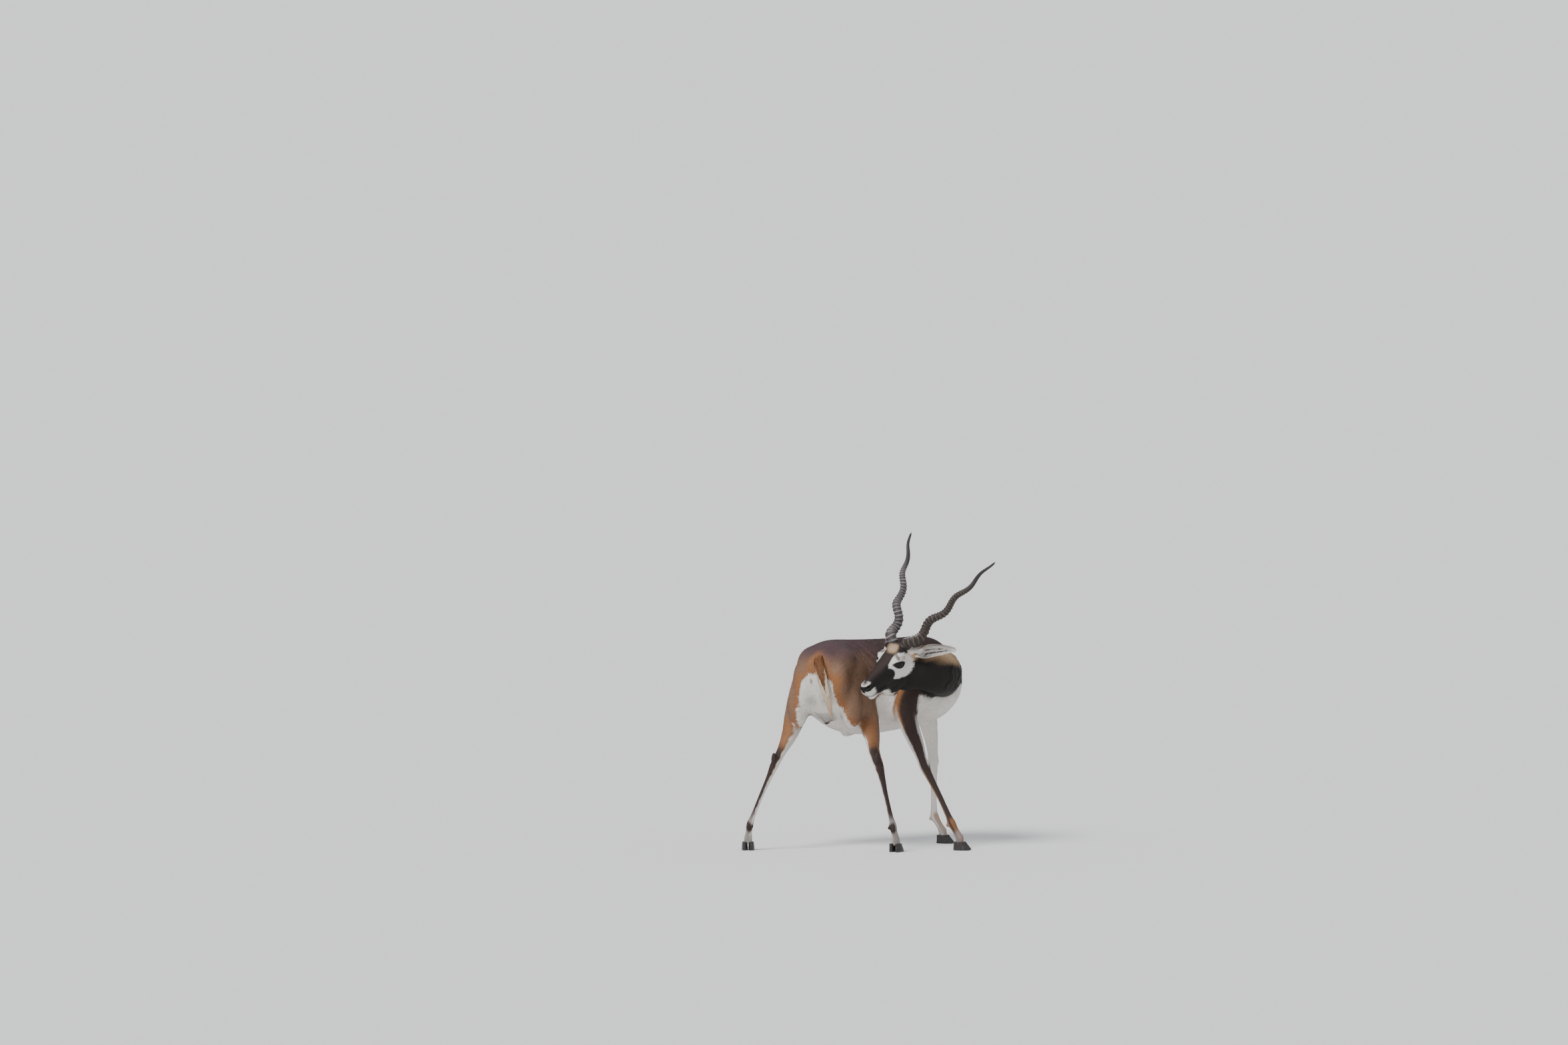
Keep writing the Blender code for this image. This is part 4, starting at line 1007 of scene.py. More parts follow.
@dataclass(frozen=True)
class Coat:
    """Short hair in tufts that lie along the skin, long on neck and rump, short on face and feet."""

    seed: int = 11
    pieces: tuple = (
        ("coat_rump", 19500), ("coat_ribs", 19500), ("coat_chest", 16000), ("coat_neck", 19500),
        ("coat_head", 19500), ("coat_hind_legs", 19500), ("coat_fore_legs", 16000),
    )
    trunk_length: float = 0.0150
    neck_length: float = 0.0165
    face_lengths: tuple = (0.0100, 0.0030)
    leg_lengths: tuple = (0.0130, 0.0045)
    width_share: float = 0.19
    rise_share: float = 0.038
    sunk: float = 0.0005

    def lengths(self, survey: Survey) -> Array:
        """The length of the hair at surveyed points."""
        back, nose = self.face_lengths
        thigh, foot = self.leg_lengths
        face = back + (nose - back) * smooth(HEAD.local(survey.points)[:, 1], -0.075, 0.045)
        lengths = survey.weight["trunk"] * self.trunk_length + survey.weight["neck"] * self.neck_length
        lengths += survey.weight["head"] * face
        for limb in LIMBS:
            lengths += survey.weight[limb.name] * (thigh + (foot - thigh) * smooth(survey.share[limb.name], 0.15, 0.50))
        return lengths

    def bald(self, survey: Survey) -> Array:
        """Where no hair grows: eyes, nostrils, lips, horn roots and hoof tops."""
        local = HEAD.local(survey.points)
        mirrored = np.column_stack([np.abs(local[:, 0]), local[:, 1:]])
        from_root = mirrored[:, :2] - HEAD.horn_root[:2]
        none = (np.linalg.norm(from_root, axis=1) < 0.0100) & (local[:, 2] > 0)
        for side in SIDES.values():
            out, long, over = HEAD.eye_axes(side)
            beside = local - HEAD.eye_middle(side)
            none |= (HEAD.rim(beside @ long, beside @ over) < 1) & (beside @ out > 0)
        none |= bump_at(mirrored, *HEAD.nostril) > 0.35
        return none & (survey.weight["head"] > 0.3) | (survey.points[:, 2] < HOOF_TOP + 0.001)

    def member(self, survey: Survey) -> Array:
        """The number of the piece that each surveyed point belongs to."""
        names = [name for name, _ in self.pieces]
        ahead = survey.share["trunk"]
        piece = np.where(ahead < 0.36, names.index("coat_rump"),
                         np.where(ahead < 0.70, names.index("coat_ribs"), names.index("coat_chest")))
        best = survey.weight["trunk"]
        for line, name in (("neck", "coat_neck"), ("head", "coat_head")):
            piece = np.where(survey.weight[line] > best, names.index(name), piece)
            best = np.maximum(best, survey.weight[line])
        for limb in LIMBS:
            name = "coat_hind_legs" if limb.hind else "coat_fore_legs"
            piece = np.where(survey.weight[limb.name] > best, names.index(name), piece)
            best = np.maximum(best, survey.weight[limb.name])
        return piece

    def drape(self, points: Array, skin: Thing) -> tuple[Array, Array]:
        """The nearest places on the skin to loose points, and the skin's normals there."""
        loose = bpy.data.meshes.new("loose")
        loose.vertices.add(len(points))
        move(loose, points)
        places = []
        for offset in (0.0, 0.001):
            settings = {"target": skin, "wrap_method": "NEAREST_SURFACEPOINT", "wrap_mode": "ABOVE_SURFACE"}
            places.append(read(applied(loose, "SHRINKWRAP", offset=offset, **settings)))
        return places[0], units(places[1] - places[0])

    def scatter(self, skin: Thing, chosen: Array, triangles: Array, area: Array, count: int,
                rng: np.random.Generator) -> tuple[Array, Array]:
        """Spread roots evenly over chosen triangles of the skin.

        Args:
            skin: the skin.
            chosen: weight of each triangle.
            triangles: the skin's triangles.
            area: their areas.
            count: how many roots.
            rng: random numbers.

        Returns:
            Places and normals.
        """
        total = np.cumsum(area * chosen)
        ticks = (np.arange(count) + rng.random(count)) / count * total[-1]
        corners = triangles[np.minimum(np.searchsorted(total, ticks), len(triangles) - 1)]
        slide = np.sqrt(rng.random((count, 1)))
        turn = rng.random((count, 1))
        shares = np.stack([1 - slide, slide * (1 - turn), slide * turn])
        points, normals = read(skin.data), read_normals(skin.data)
        roots = sum(points[corners[:, k]] * shares[k] for k in range(3))
        return roots, units(sum(normals[corners[:, k]] * shares[k] for k in range(3)))

    def build(self, skin_mesh: Mesh, finish: Material) -> None:
        """Grow the tufts piece by piece on the skin, in the frame of the pose."""
        rng = np.random.default_rng(self.seed)
        skin = bpy.data.objects.new("under", skin_mesh)
        bpy.context.collection.objects.link(skin)
        skin_mesh.calc_loop_triangles()
        triangles = np.empty(len(skin_mesh.loop_triangles) * 3, np.int32)
        skin_mesh.loop_triangles.foreach_get("vertices", triangles)
        triangles = triangles.reshape(-1, 3)
        points, normals = read(skin_mesh), read_normals(skin_mesh)
        edges = points[triangles[:, 1:]] - points[triangles[:, :1]]
        area = np.linalg.norm(np.cross(edges[:, 0], edges[:, 1]), axis=1) / 2
        survey = Survey.of(points[triangles].mean(axis=1), units(normals[triangles].mean(axis=1)))
        density = (~self.bald(survey)) / self.lengths(survey) ** 1.2
        member = self.member(survey)
        for number, (name, count) in enumerate(self.pieces):
            roots, upward = self.scatter(skin, density * (member == number), triangles, area, count, rng)
            self.piece(name, roots, upward, skin, finish, rng)
        bpy.data.objects.remove(skin)

    def piece(self, name: str, roots: Array, normals: Array, skin: Thing, finish: Material,
              rng: np.random.Generator) -> None:
        """One piece of the coat, with its markings and its map for baking."""
        count = len(roots)
        survey = Survey.of(roots, normals)
        length = (self.lengths(survey) * rng.uniform(0.75, 1.2, count))[:, None]
        rise = length * self.rise_share * rng.uniform(0.4, 1.6, (count, 1))
        swing = (0.09 * rng.normal(size=count) + 0.10 * waver(roots, 0.03, 8))[:, None]
        lie = survey.lie * np.cos(swing) + np.cross(normals, survey.lie) * np.sin(swing)
        middle, middle_up = self.drape(roots + lie * length * 0.5, skin)
        tip, tip_up = self.drape(roots + lie * length, skin)
        half = length[:, 0] * self.width_share * rng.uniform(0.75, 1.25, count) / 2
        tone = 0.5 + 0.08 * rng.normal(size=count) + 0.08 * waver(roots, 0.05, 9)
        blades = Blades(
            roots - normals * self.sunk, middle + middle_up * rise * 0.55, tip + tip_up * rise, middle_up,
            np.cross(lie, normals), half, MARKINGS.paint(survey), np.clip(tone, 0, 1), survey.flat,
        )
        blades.put(name, finish, "dark_coat")


@dataclass(frozen=True)
class Flesh:
    """The whole animal's flesh as one skin, without horns, ears, eyes, tail and hooves."""

    core_voxel: float = 0.008
    core_smoothing: int = 14
    voxel: float = 0.0056
    fine_voxel: float = 0.0026
    body_coat: float = 0.0026
    short_coat: float = 0.0010
    flank_folds: tuple = (0.172, 0.219)
    nodes: tuple = ("head", "neck", "torso", "leg_hind_right", "leg_hind_left", "leg_fore_right", "leg_fore_left")

    def muscles(self) -> list[Mesh]:
        """Hams, thighs and hips, shoulders and blades, and the throat."""
        forms = [round_form(turned(250.0), (0.290, 0.058, 0.582), (0.046, 0.052, 0.054))]
        pelvis, chest = turned(TRUNK.pelvis_heading), turned(TRUNK.chest_heading)
        for limb in LIMBS:
            side = limb.side
            if limb.hind:
                stifle, hock = limb.joint(STIFLE), limb.joint(HOCK)
                ham = np.array((side * 0.056, 0.030, 0.560)) @ pelvis
                low_ham = 0.62 * ham + 0.19 * (stifle + hock) + pelvis[1] * 0.010
                hip = np.array((side * 0.050, 0.095, 0.612)) @ pelvis
                forms.append(round_form(pelvis, ham, (0.044, 0.050, 0.088)))
                forms.append(round_form(pelvis, low_ham, (0.038, 0.050, 0.084)))
                forms.append(round_form(pelvis, hip, (0.052, 0.085, 0.068)))
            else:
                elbow = limb.joint(ELBOW)
                shoulder = elbow + chest[1] * 0.045 + chest[2] * 0.058 - chest[0] * side * 0.004
                blade = elbow + chest[1] * 0.020 + chest[2] * 0.125 - chest[0] * side * 0.022
                forms.append(round_form(chest, shoulder, (0.030, 0.054, 0.070)))
                forms.append(round_form(chest, blade, (0.028, 0.060, 0.085)))
        return forms

    def small_forms(self) -> list[Mesh]:
        """Hocks, knees, dew claws, scrotum and sheath."""
        forms, pelvis = [], turned(TRUNK.pelvis_heading)
        for limb in LIMBS:
            toe = turned(limb.toe_heading)
            if limb.hind:
                forms.append(round_form(toe, limb.joint(HOCK) - toe[1] * 0.014 + toe[2] * 0.022, (0.010, 0.012, 0.026)))
            else:
                forms.append(round_form(toe, limb.joint(CARPUS) + toe[1] * 0.002, (0.0160, 0.0185, 0.0240)))
            for side in (1, -1):
                spur = limb.joint(FETLOCK) - toe[1] * 0.0130 + toe[0] * side * 0.0080 - toe[2] * 0.008
                forms.append(round_form(toe, spur, (0.0055, 0.0060, 0.0085), segments=12))
        forms.append(round_form(pelvis, np.array((0.0, 0.090, 0.452)) @ pelvis, (0.0205, 0.0220, 0.0370)))
        spot, heading = TRUNK.spine(np.array(0.24))
        forms.append(round_form(turned(float(heading)), (*spot, 0.378), (0.010, 0.030, 0.014)))
        return forms

    def forms(self) -> Mesh:
        """The smoothed core with the finer forms passed into it."""
        core = [TRUNK.form(), NECK.form(), HEAD.form(HEAD.back_rows)] + [limb.form() for limb in LIMBS]
        core = applied(joined(core + self.muscles()), "REMESH", mode="VOXEL", voxel_size=self.core_voxel)
        core = applied(core, "SMOOTH", factor=0.5, iterations=self.core_smoothing)
        legs = [limb.form(STIFLE) for limb in LIMBS]
        return joined([core, HEAD.form()] + HEAD.small_forms() + legs + self.small_forms())

    def refine(self, mesh: Mesh) -> Mesh:
        """Quarter the faces of the head and the lower legs, and again those of eyes and muzzle."""
        def head(points: Array) -> Array:
            local = HEAD.local(points)
            return (local[:, 1] > -0.095) & (np.abs(local[:, 0]) < 0.075) & (local[:, 2] > -0.125) & (local[:, 2] < 0.075)

        def face(points: Array) -> Array:
            local = HEAD.local(points)
            eye = np.hypot(local[:, 1] / 0.031, local[:, 2] / 0.026) < 1
            return head(points) & (eye & (np.abs(local[:, 0]) > 0.025) | (local[:, 1] > 0.086))

        for region in (lambda points: head(points) | (points[:, 2] < 0.335), face):
            work = bmesh.new()
            work.from_mesh(mesh)
            inside = region(read(mesh))
            edges = [edge for edge in work.edges if inside[edge.verts[0].index] and inside[edge.verts[1].index]]
            bmesh.ops.subdivide_edges(work, edges=edges, cuts=1, use_grid_fill=True)
            mesh = bpy.data.meshes.new("skin")
            work.to_mesh(mesh)
            work.free()
        return mesh

    def largest(self, mesh: Mesh) -> Mesh:
        """Only the mesh's outer skin, without pockets sealed inside it."""
        pairs = np.empty(len(mesh.edges) * 2, np.int32)
        mesh.edges.foreach_get("vertices", pairs)
        first, second = pairs.reshape(-1, 2).T
        label = np.arange(len(mesh.vertices))
        while True:
            low = np.minimum(label[first], label[second])
            fresh = label.copy()
            np.minimum.at(fresh, first, low)
            np.minimum.at(fresh, second, low)
            fresh = fresh[fresh]
            if (fresh == label).all():
                break
            label = fresh
        names, counts = np.unique(label, return_counts=True)
        keep = label == names[counts.argmax()]
        work = bmesh.new()
        work.from_mesh(mesh)
        work.verts.ensure_lookup_table()
        bmesh.ops.delete(work, geom=[work.verts[k] for k in np.flatnonzero(~keep)], context="VERTS")
        work.to_mesh(mesh)
        work.free()
        return mesh

    def skin(self) -> Mesh:
        """The skin's mesh: even quads, refined where it matters, drawn onto a finer surface."""
        forms = self.forms()
        fine = applied(forms, "REMESH", mode="VOXEL", voxel_size=self.fine_voxel)
        fine = applied(fine, "SMOOTH", factor=0.5, iterations=10)
        mesh = applied(forms, "REMESH", mode="VOXEL", voxel_size=self.voxel)
        mesh = self.refine(applied(self.largest(mesh), "SMOOTH", factor=0.5, iterations=4))
        target = bpy.data.objects.new("fine", fine)
        bpy.context.collection.objects.link(target)
        mesh = applied(mesh, "SHRINKWRAP", target=target, wrap_method="NEAREST_SURFACEPOINT")
        bpy.data.objects.remove(target)
        mesh = applied(mesh, "SMOOTH", factor=0.5, iterations=2)
        points, normals = read(mesh), read_normals(mesh)
        move(mesh, self.sculpt(points, normals, Survey.of(points, normals)))
        return move(mesh, HEAD.carve(read(mesh), read_normals(mesh)))

    def sculpt(self, points: Array, normals: Array, survey: Survey) -> Array:
        """Sink the skin by the coat's depth, and fold it where trunk and neck bend.

        A fold is a ridge with a furrow on each side: (1 - 2 x squared) e to the minus x squared.

        Args:
            points: the skin's points.
            normals: their normals.
            survey: their survey.

        Returns:
            The new points.
        """
        short = smooth(survey.weight["head"], 0.2, 0.8)
        for limb in LIMBS:
            short = np.maximum(short, smooth(survey.weight[limb.name], 0.4, 0.8) * smooth(survey.share[limb.name], 0.2, 0.45))
        lift = -(self.body_coat + (self.short_coat - self.body_coat) * short)
        right, ahead, height = (points @ turned(TRUNK.pelvis_heading).T).T
        for place in self.flank_folds:
            away = (ahead - place - 0.25 * (0.66 - height) ** 2 / 0.05) / 0.0085
            fold = (1 - 2 * away**2) * np.exp(-(away**2))
            fade = smooth(height, 0.56, 0.63) * smooth(right, 0.020, 0.055)
            lift += 0.0034 * fold * fade * survey.weight["trunk"]
        share, inner = survey.share["neck"], -survey.right["neck"]
        for place in (0.34, 0.45, 0.56, 0.67):
            away = (share - place - 0.012 * np.sin(9 * survey.above["neck"] + 20 * place)) / 0.020
            fold = (1 - 2 * away**2) * np.exp(-(away**2))
            lift += 0.0030 * fold * smooth(inner, 0.25, 0.75) * smooth(survey.weight["neck"], 0.3, 0.7)
        return points + normals * lift[:, None]


@dataclass(frozen=True)
class Horn:
    """An open spiral horn round a straight axis, ringed up to its smooth dark tip."""

    side: str
    length: float
    spread: float
    lean: float
    phase: float
    turns: float = 3.7
    coil: float = 0.0105
    coil_root_share: float = 0.08
    radii: tuple = (0.0190, 0.0118, 0.0030)
    middle_share: float = 0.45
    ringed_share: float = 0.74
    plug: float = 0.010
    pitch: float = 0.0112
    ridge: float = 0.0027
    rows: int = 520
    sides: int = 40

    def grid(self) -> tuple[Array, Array]:
        """Rings from plug to tip: axis point + coil * (cos, sin) of the turn, wide by radius.

        Returns:
            The rings' points, and the crest, share, upward side and one for each of them.
        """
        sign, axes = SIDES[self.side], HEAD.axes
        spread, lean = math.radians(self.spread), math.radians(self.lean)
        aim = (sign * math.sin(spread), -math.cos(spread) * math.cos(lean), math.cos(spread) * math.sin(lean))
        axis = np.array(aim) @ axes
        out = units(sign * (axes[0] - axis * (axes[0] @ axis)))
        over = np.cross(axis, out) * sign
        t = np.linspace(0, 1, self.rows)
        turn = math.radians(self.phase) - 2 * np.pi * self.turns * t
        coil = self.coil * np.clip(t / self.coil_root_share, 0, 1) * (1 - 0.75 * t)
        root = HEAD.place(sign * HEAD.horn_root[0], HEAD.horn_root[1], HEAD.horn_root[2])
        line = root + np.outer(self.length * t, axis)
        line += np.outer(coil * np.cos(turn), out) + np.outer(coil * np.sin(turn), over)
        thick, middle, thin = self.radii
        radius = thick + (middle - thick) * np.clip(t / self.middle_share, 0, 1) ** 0.8
        radius -= (middle - thin) * np.clip((t - self.middle_share) / (1 - self.middle_share), 0, 1) ** 1.15
        tangent = units(np.gradient(line, axis=0))
        across = units(out - tangent * (tangent @ out)[:, None])
        angles = np.linspace(0, 2 * np.pi, self.sides, endpoint=False)
        crest = self.crests(t, angles)
        flutes = 0.00020 * np.sin(17 * angles + 6 * t[:, None])
        reach = radius[:, None] + self.ridge * (1 - 0.50 * t)[:, None] * (crest - 0.35) + flutes
        reach[-12:] *= np.linspace(1, 0.15, 12)[:, None]
        ring = np.cos(angles)[:, None] * across[:, None] + np.sin(angles)[:, None] * np.cross(tangent, across)[:, None]
        grid = line[:, None] + ring * reach[..., None]
        kept = np.stack([crest, t[:, None] + 0 * crest, ring @ UP, 1 + 0 * crest], axis=-1)
        return np.concatenate([grid[:1] - axis * self.plug, grid]), np.concatenate([kept[:1], kept])

    def crests(self, t: Array, angles: Array) -> Array:
        """Where the rings stand, 0 to 1: each rises from the root side, falls quickly, and sways."""
        along = (t * self.length)[:, None]
        sway = 0.0016 * np.sin(angles + 9 * t[:, None]) + 0.0008 * np.sin(2 * angles - 31 * t[:, None])
        phase = ((along + sway) / (self.pitch * (1.12 - 0.30 * t[:, None]))) % 1.0
        fade = smooth(t, 0.012, 0.05) * (1 - smooth(t, self.ringed_share - 0.10, self.ringed_share + 0.02))
        return 0.35 + (np.sin(np.pi * np.clip(phase / 0.68, 0, 1)) ** 1.4 - 0.35) * fade[:, None]

    def build(self, finish: Material) -> Thing:
        """The horn as a piece, with crest, share and upward side kept for its colours, the upward side for a painted
        highlight.
        """
        grid, kept = self.grid()
        mesh = closed_mesh(grid)
        mark(mesh, "ring", kept.reshape(-1, 4))
        return put(mesh, "horn_%s_ringed" % self.side, finish, ["horn_" + self.side])


HORNS = (
    Horn("left", 0.428, 23.0, 26.3, 203.0),
    Horn("right", 0.416, 23.7, 25.2, 168.0),
)


FURROWS = (0.12, 0.55)


@dataclass(frozen=True)
class Ear:
    """A leaf rolled to a tube at its root and open to its tip, with a rim and inner ribs.

    Each row of the roll holds a share of the length, the half angle, the half width and the
    thickness.
    """

    side: str
    aim: tuple
    length: float = 0.142
    face: tuple = (0.700, 0.670, 0.220)
    roll: tuple = (
        (0.00, 160.0, 0.0145, 0.0110),
        (0.10, 150.0, 0.0165, 0.0085),
        (0.22, 116.0, 0.0205, 0.0040),
        (0.38, 84.0, 0.0232, 0.0030),
        (0.60, 66.0, 0.0202, 0.0028),
        (0.84, 50.0, 0.0120, 0.0024),
        (1.00, 35.0, 0.0030, 0.0018),
    )
    rows: int = 60
    columns: int = 33
    seed: int = 21
    tufts: int = 2700
    inner_hair: tuple = (0.640, 0.600, 0.560)
    outer_hair: tuple = (0.270, 0.175, 0.110)

    def frame(self) -> tuple[Array, Array, Array]:
        """The ear's directions: along to its tip, its open face, and across."""
        mirror = np.array((SIDES[self.side], 1.0, 1.0))
        along = units(np.array(self.aim) * mirror @ HEAD.axes)
        face = np.array(self.face) * mirror @ HEAD.axes
        face = units(face - along * (face @ along))
        return along, face, np.cross(along, face)

    def shells(self) -> tuple[Array, Array]:
        """Outer and inner surface: root + along * length + radius * (sin, minus cos) of the roll."""
        along, face, across = self.frame()
        sign = SIDES[self.side]
        root = HEAD.place(sign * HEAD.ear_root[0], HEAD.ear_root[1], HEAD.ear_root[2])
        share, angle, half_width, thick = curve_through(self.roll, self.rows).T
        lay = np.linspace(-1, 1, self.columns)
        roll = np.radians(angle)[:, None] * lay
        radius = half_width / np.sin(np.radians(np.minimum(angle, 90.0)))
        spots = root + np.outer(share * self.length, along)[:, None]
        ribs = 0.0006 * np.cos(lay * 3.5 * np.pi) * smooth(share, 0.15, 0.35)[:, None] * (1 - share)[:, None]
        thin = 1 - 0.55 * np.abs(lay) ** 6
        shells = []
        for inset in (0.0, 1.0):
            depth = inset * (thick[:, None] * thin + ribs)
            reach = np.maximum(radius[:, None] - depth, 0.0010)
            back = face * (-reach * np.cos(roll))[..., None]
            shells.append(spots + across * (reach * np.sin(roll))[..., None] + back)
        return shells[0], shells[1]

    def build(self, finish: Material) -> Thing:
        """The ear as a piece, with its position on the leaf kept for the markings."""
        outer, inner = self.shells()
        mesh = closed_mesh(np.concatenate([outer, inner[:, ::-1]], axis=1))
        share = np.linspace(0, 1, self.rows)[:, None] + np.zeros(self.columns)
        lay = np.linspace(-1, 1, self.columns) * -SIDES[self.side] + np.zeros((self.rows, 1))
        inside = np.concatenate([0 * share, 1 + 0 * share], axis=1)
        leaf = [np.concatenate([share, share[:, ::-1]], axis=1), np.concatenate([lay, lay[:, ::-1]], axis=1), inside]
        mark(mesh, "leaf", np.stack([part.ravel() for part in leaf] + [np.ones(inside.size)], axis=1))
        return put(mesh, "ear_%s_leaf" % self.side, finish, ["ear_" + self.side])

    def hair(self, finish: Material) -> Thing:
        """White hair inside between bare furrows, longest at the base, and buff hair outside.

        Returns:
            The tufts as one piece.
        """
        rng = np.random.default_rng(self.seed)
        count = self.tufts
        inside = np.arange(count) % 3 > 0
        edge = np.arange(count) % 9 == 1
        share = np.where(inside, 0.02 + 0.93 * rng.random(count) ** 1.3, rng.uniform(0.0, 0.95, count))
        lay = rng.uniform(-0.97, 0.97, count)
        for place in np.array(FURROWS) * -SIDES[self.side]:
            bare = inside & (np.abs(lay - place) < 0.13) & (share > 0.28) & (share < 0.90)
            lay = np.where(bare, place + np.sign(lay - place) * rng.uniform(0.13, 0.35, count), lay)
        lay = np.where(edge, np.sign(lay) * 0.985, np.clip(lay, -0.97, 0.97))
        outer, inner = self.shells()
        row = (share * (self.rows - 1)).astype(int)
        column = ((lay + 1) / 2 * (self.columns - 1)).astype(int)
        across_wall = units(inner[row, column] - outer[row, column])
        upward = np.where(inside[:, None], across_wall, -across_wall)
        _, face, across = self.frame()
        slopes = [units(np.gradient(shell, axis=0))[row, column] for shell in (inner, outer)]
        along = np.where(inside[:, None], *slopes)
        low = np.where(inside[:, None], inner[row, column], outer[row, column])
        low = low + (along * rng.uniform(-1, 1, (count, 1)) + across * rng.uniform(-0.5, 0.5, (count, 1))) * 0.0012
        base = inside * (1 - smooth(share, 0.05, 0.30))
        lie = along + across * (np.sign(lay) * np.where(edge, 0.45, -0.10) + 0.14 * rng.normal(size=count))[:, None]
        lie = units(lie + (face * 0.45 + UP * 0.35 + across * rng.normal(size=(count, 1)) * 0.25) * base[:, None])
        length = np.where(inside, 0.015 + 0.018 * base, 0.009) * (1 - 0.5 * share) * rng.uniform(0.8, 1.25, count)
        length = np.where(edge, 0.010, length)[:, None]
        rise = upward * length * np.where(inside, 0.10, 0.04)[:, None]
        pale = np.clip(inside + edge + 0.8 * (1 - smooth(share, 0.10, 0.34)), 0, 1)[:, None]
        colours = np.array(self.outer_hair) + (np.array(self.inner_hair) - self.outer_hair) * pale
        blades = Blades(
            low - upward * 0.0004, low + lie * length * 0.5 + rise, low + lie * length + rise * 0.6, upward,
            np.cross(lie, upward), np.where(inside, 0.0009, 0.0010) + 0 * share, colours,
            np.clip(0.5 + 0.10 * rng.normal(size=count), 0, 1),
            np.stack([0.25 + 0.22 * lay + 0.5 * (SIDES[self.side] > 0), 0.02 + 0.94 * share], axis=1),
        )
        return blades.put("ear_%s_hair" % self.side, finish, "pale_coat")


EARS = (
    Ear("left", (0.097, -0.092, -0.028)),
    Ear("right", (0.105, -0.060, -0.046)),
)


@dataclass(frozen=True)
class Eye:
    """A dark wet eyeball with a raised clear front and a long level pupil."""

    side: str
    rows: int = 40
    sides: int = 64

    def build(self, finish: Material) -> Thing:
        """The ball: radius 1 plus a low bulge round the outward axis, times the eye's radius."""
        sign = SIDES[self.side]
        polar = np.linspace(0.01, np.pi - 0.01, self.rows)[:, None]
        angles = np.linspace(0, 2 * np.pi, self.sides, endpoint=False)
        flat = np.stack([np.cos(polar) + 0 * angles, np.sin(polar) * np.cos(angles), np.sin(polar) * np.sin(angles)], -1)
        bulge = 1 + 0.030 * np.exp(-((polar / 0.62) ** 4))
        ball = flat * (bulge * HEAD.eye_radius * 0.985)[..., None]
        mesh = closed_mesh(ball @ HEAD.eye_axes(sign) @ HEAD.axes + HEAD.place(*HEAD.eye_middle(sign)))
        disc = np.stack([flat[..., 1], flat[..., 2], flat[..., 0], 1 + 0 * flat[..., 0]], -1)
        mark(mesh, "disc", disc.reshape(-1, 4))
        return put(mesh, "eye_%s_wet" % self.side, finish, ["eye_" + self.side])


@dataclass(frozen=True)
class Tail:
    """The tail's core in rows of points, half width and half thickness."""

    rows: tuple = (
        (0.002, 0.012, 0.650, 0.0130, 0.0120),
        (0.002, -0.020, 0.634, 0.0150, 0.0120),
        (0.010, -0.040, 0.592, 0.0175, 0.0100),
        (0.022, -0.046, 0.545, 0.0170, 0.0085),
        (0.034, -0.043, 0.500, 0.0130, 0.0065),
        (0.042, -0.038, 0.462, 0.0040, 0.0030),
    )
    shrink: float = 0.62
    seed: int = 31
    tufts: int = 4200
    fringe: tuple = (0.560, 0.460, 0.350)
    tip: tuple = (0.360, 0.220, 0.120)

    def frames(self, count: int) -> tuple[Array, Array, Array, Array]:
        """Rows down the tail with their tangent, and the directions across and to the back."""
        rows = curve_through(self.rows, count)
        tangent = units(np.gradient(rows[:, :3], axis=0))
        rear = -turned(TRUNK.pelvis_heading)[1]
        back = units(rear - tangent * (tangent @ rear)[:, None])
        return rows, tangent, np.cross(back, tangent), back

    def build(self, finish: Material) -> Thing:
        """The dock of the tail, ellipses round its line, slimmer than the tail with its hair."""
        rows, _, across, back = self.frames(40)
        slim = rows[:, 3:] * np.linspace(1, self.shrink, 40)[:, None]
        mesh = closed_mesh(rings(rows[:, :3], across, back, slim[:, 0], slim[:, 1], slim[:, 1], 20))
        mark(mesh, "marking", np.tile((*MARKINGS.rust, 0.5), (len(mesh.vertices), 1)))
        return put(mesh, "tail_dock", finish, ["tail"])

    def hair(self, finish: Material) -> Thing:
        """Hair down the tail: rust brown on its back, cream along its edges, tan at its tip.

        Returns:
            The tufts as one piece.
        """
        rng = np.random.default_rng(self.seed)
        count = self.tufts
        share = rng.random(count)
        rows, tangent, across, back = (part[(share * 199).astype(int)] for part in self.frames(200))
        angle = rng.uniform(0, 2 * np.pi, count)
        cosine, sine = np.cos(angle)[:, None], np.sin(angle)[:, None]
        slim = rows[:, 3:] * (1 + (self.shrink - 1) * share)[:, None]
        low = rows[:, :3] + across * cosine * slim[:, :1] + back * sine * slim[:, 1:]
        upward = units(across * cosine / slim[:, :1] + back * sine / slim[:, 1:])
        spread = cosine * (0.16 - 0.34 * share[:, None]) + 0.045 * rng.normal(size=(count, 1))
        lie = units(tangent + across * spread + back * 0.03 * rng.normal(size=(count, 1)))
        length = (0.021 * rng.uniform(0.75, 1.2, count) * (1 - 0.25 * share))[:, None]
        wide = 0.82 - 0.95 * smooth(share, 0.25, 0.66)
        edge = smooth(np.abs(cosine[:, 0] - 0.15) + 0.08 * rng.normal(size=count), wide, wide + 0.16)
        colours = np.tile(MARKINGS.rust, (count, 1)) * (0.75 - 0.35 * smooth(share, 0.10, 0.60))[:, None]
        lay(colours, self.fringe, edge * smooth(share, 0.16, 0.34))
        lay(colours, self.tip, 0.6 * smooth(share, 0.55, 0.85))
        rise = upward * length * 0.05
        blades = Blades(
            low - upward * 0.0005, low + lie * length * 0.5 + rise, low + lie * length + rise * 0.5, upward,
            np.cross(lie, upward), 0.0011 + 0 * share, colours,
            np.clip(0.5 + 0.12 * rng.normal(size=count), 0, 1),
            np.stack([0.02 + 0.96 * angle / (2 * np.pi), 0.02 + 0.96 * share], axis=1),
        )
        return blades.put("tail_hair", finish, "brown_coat")


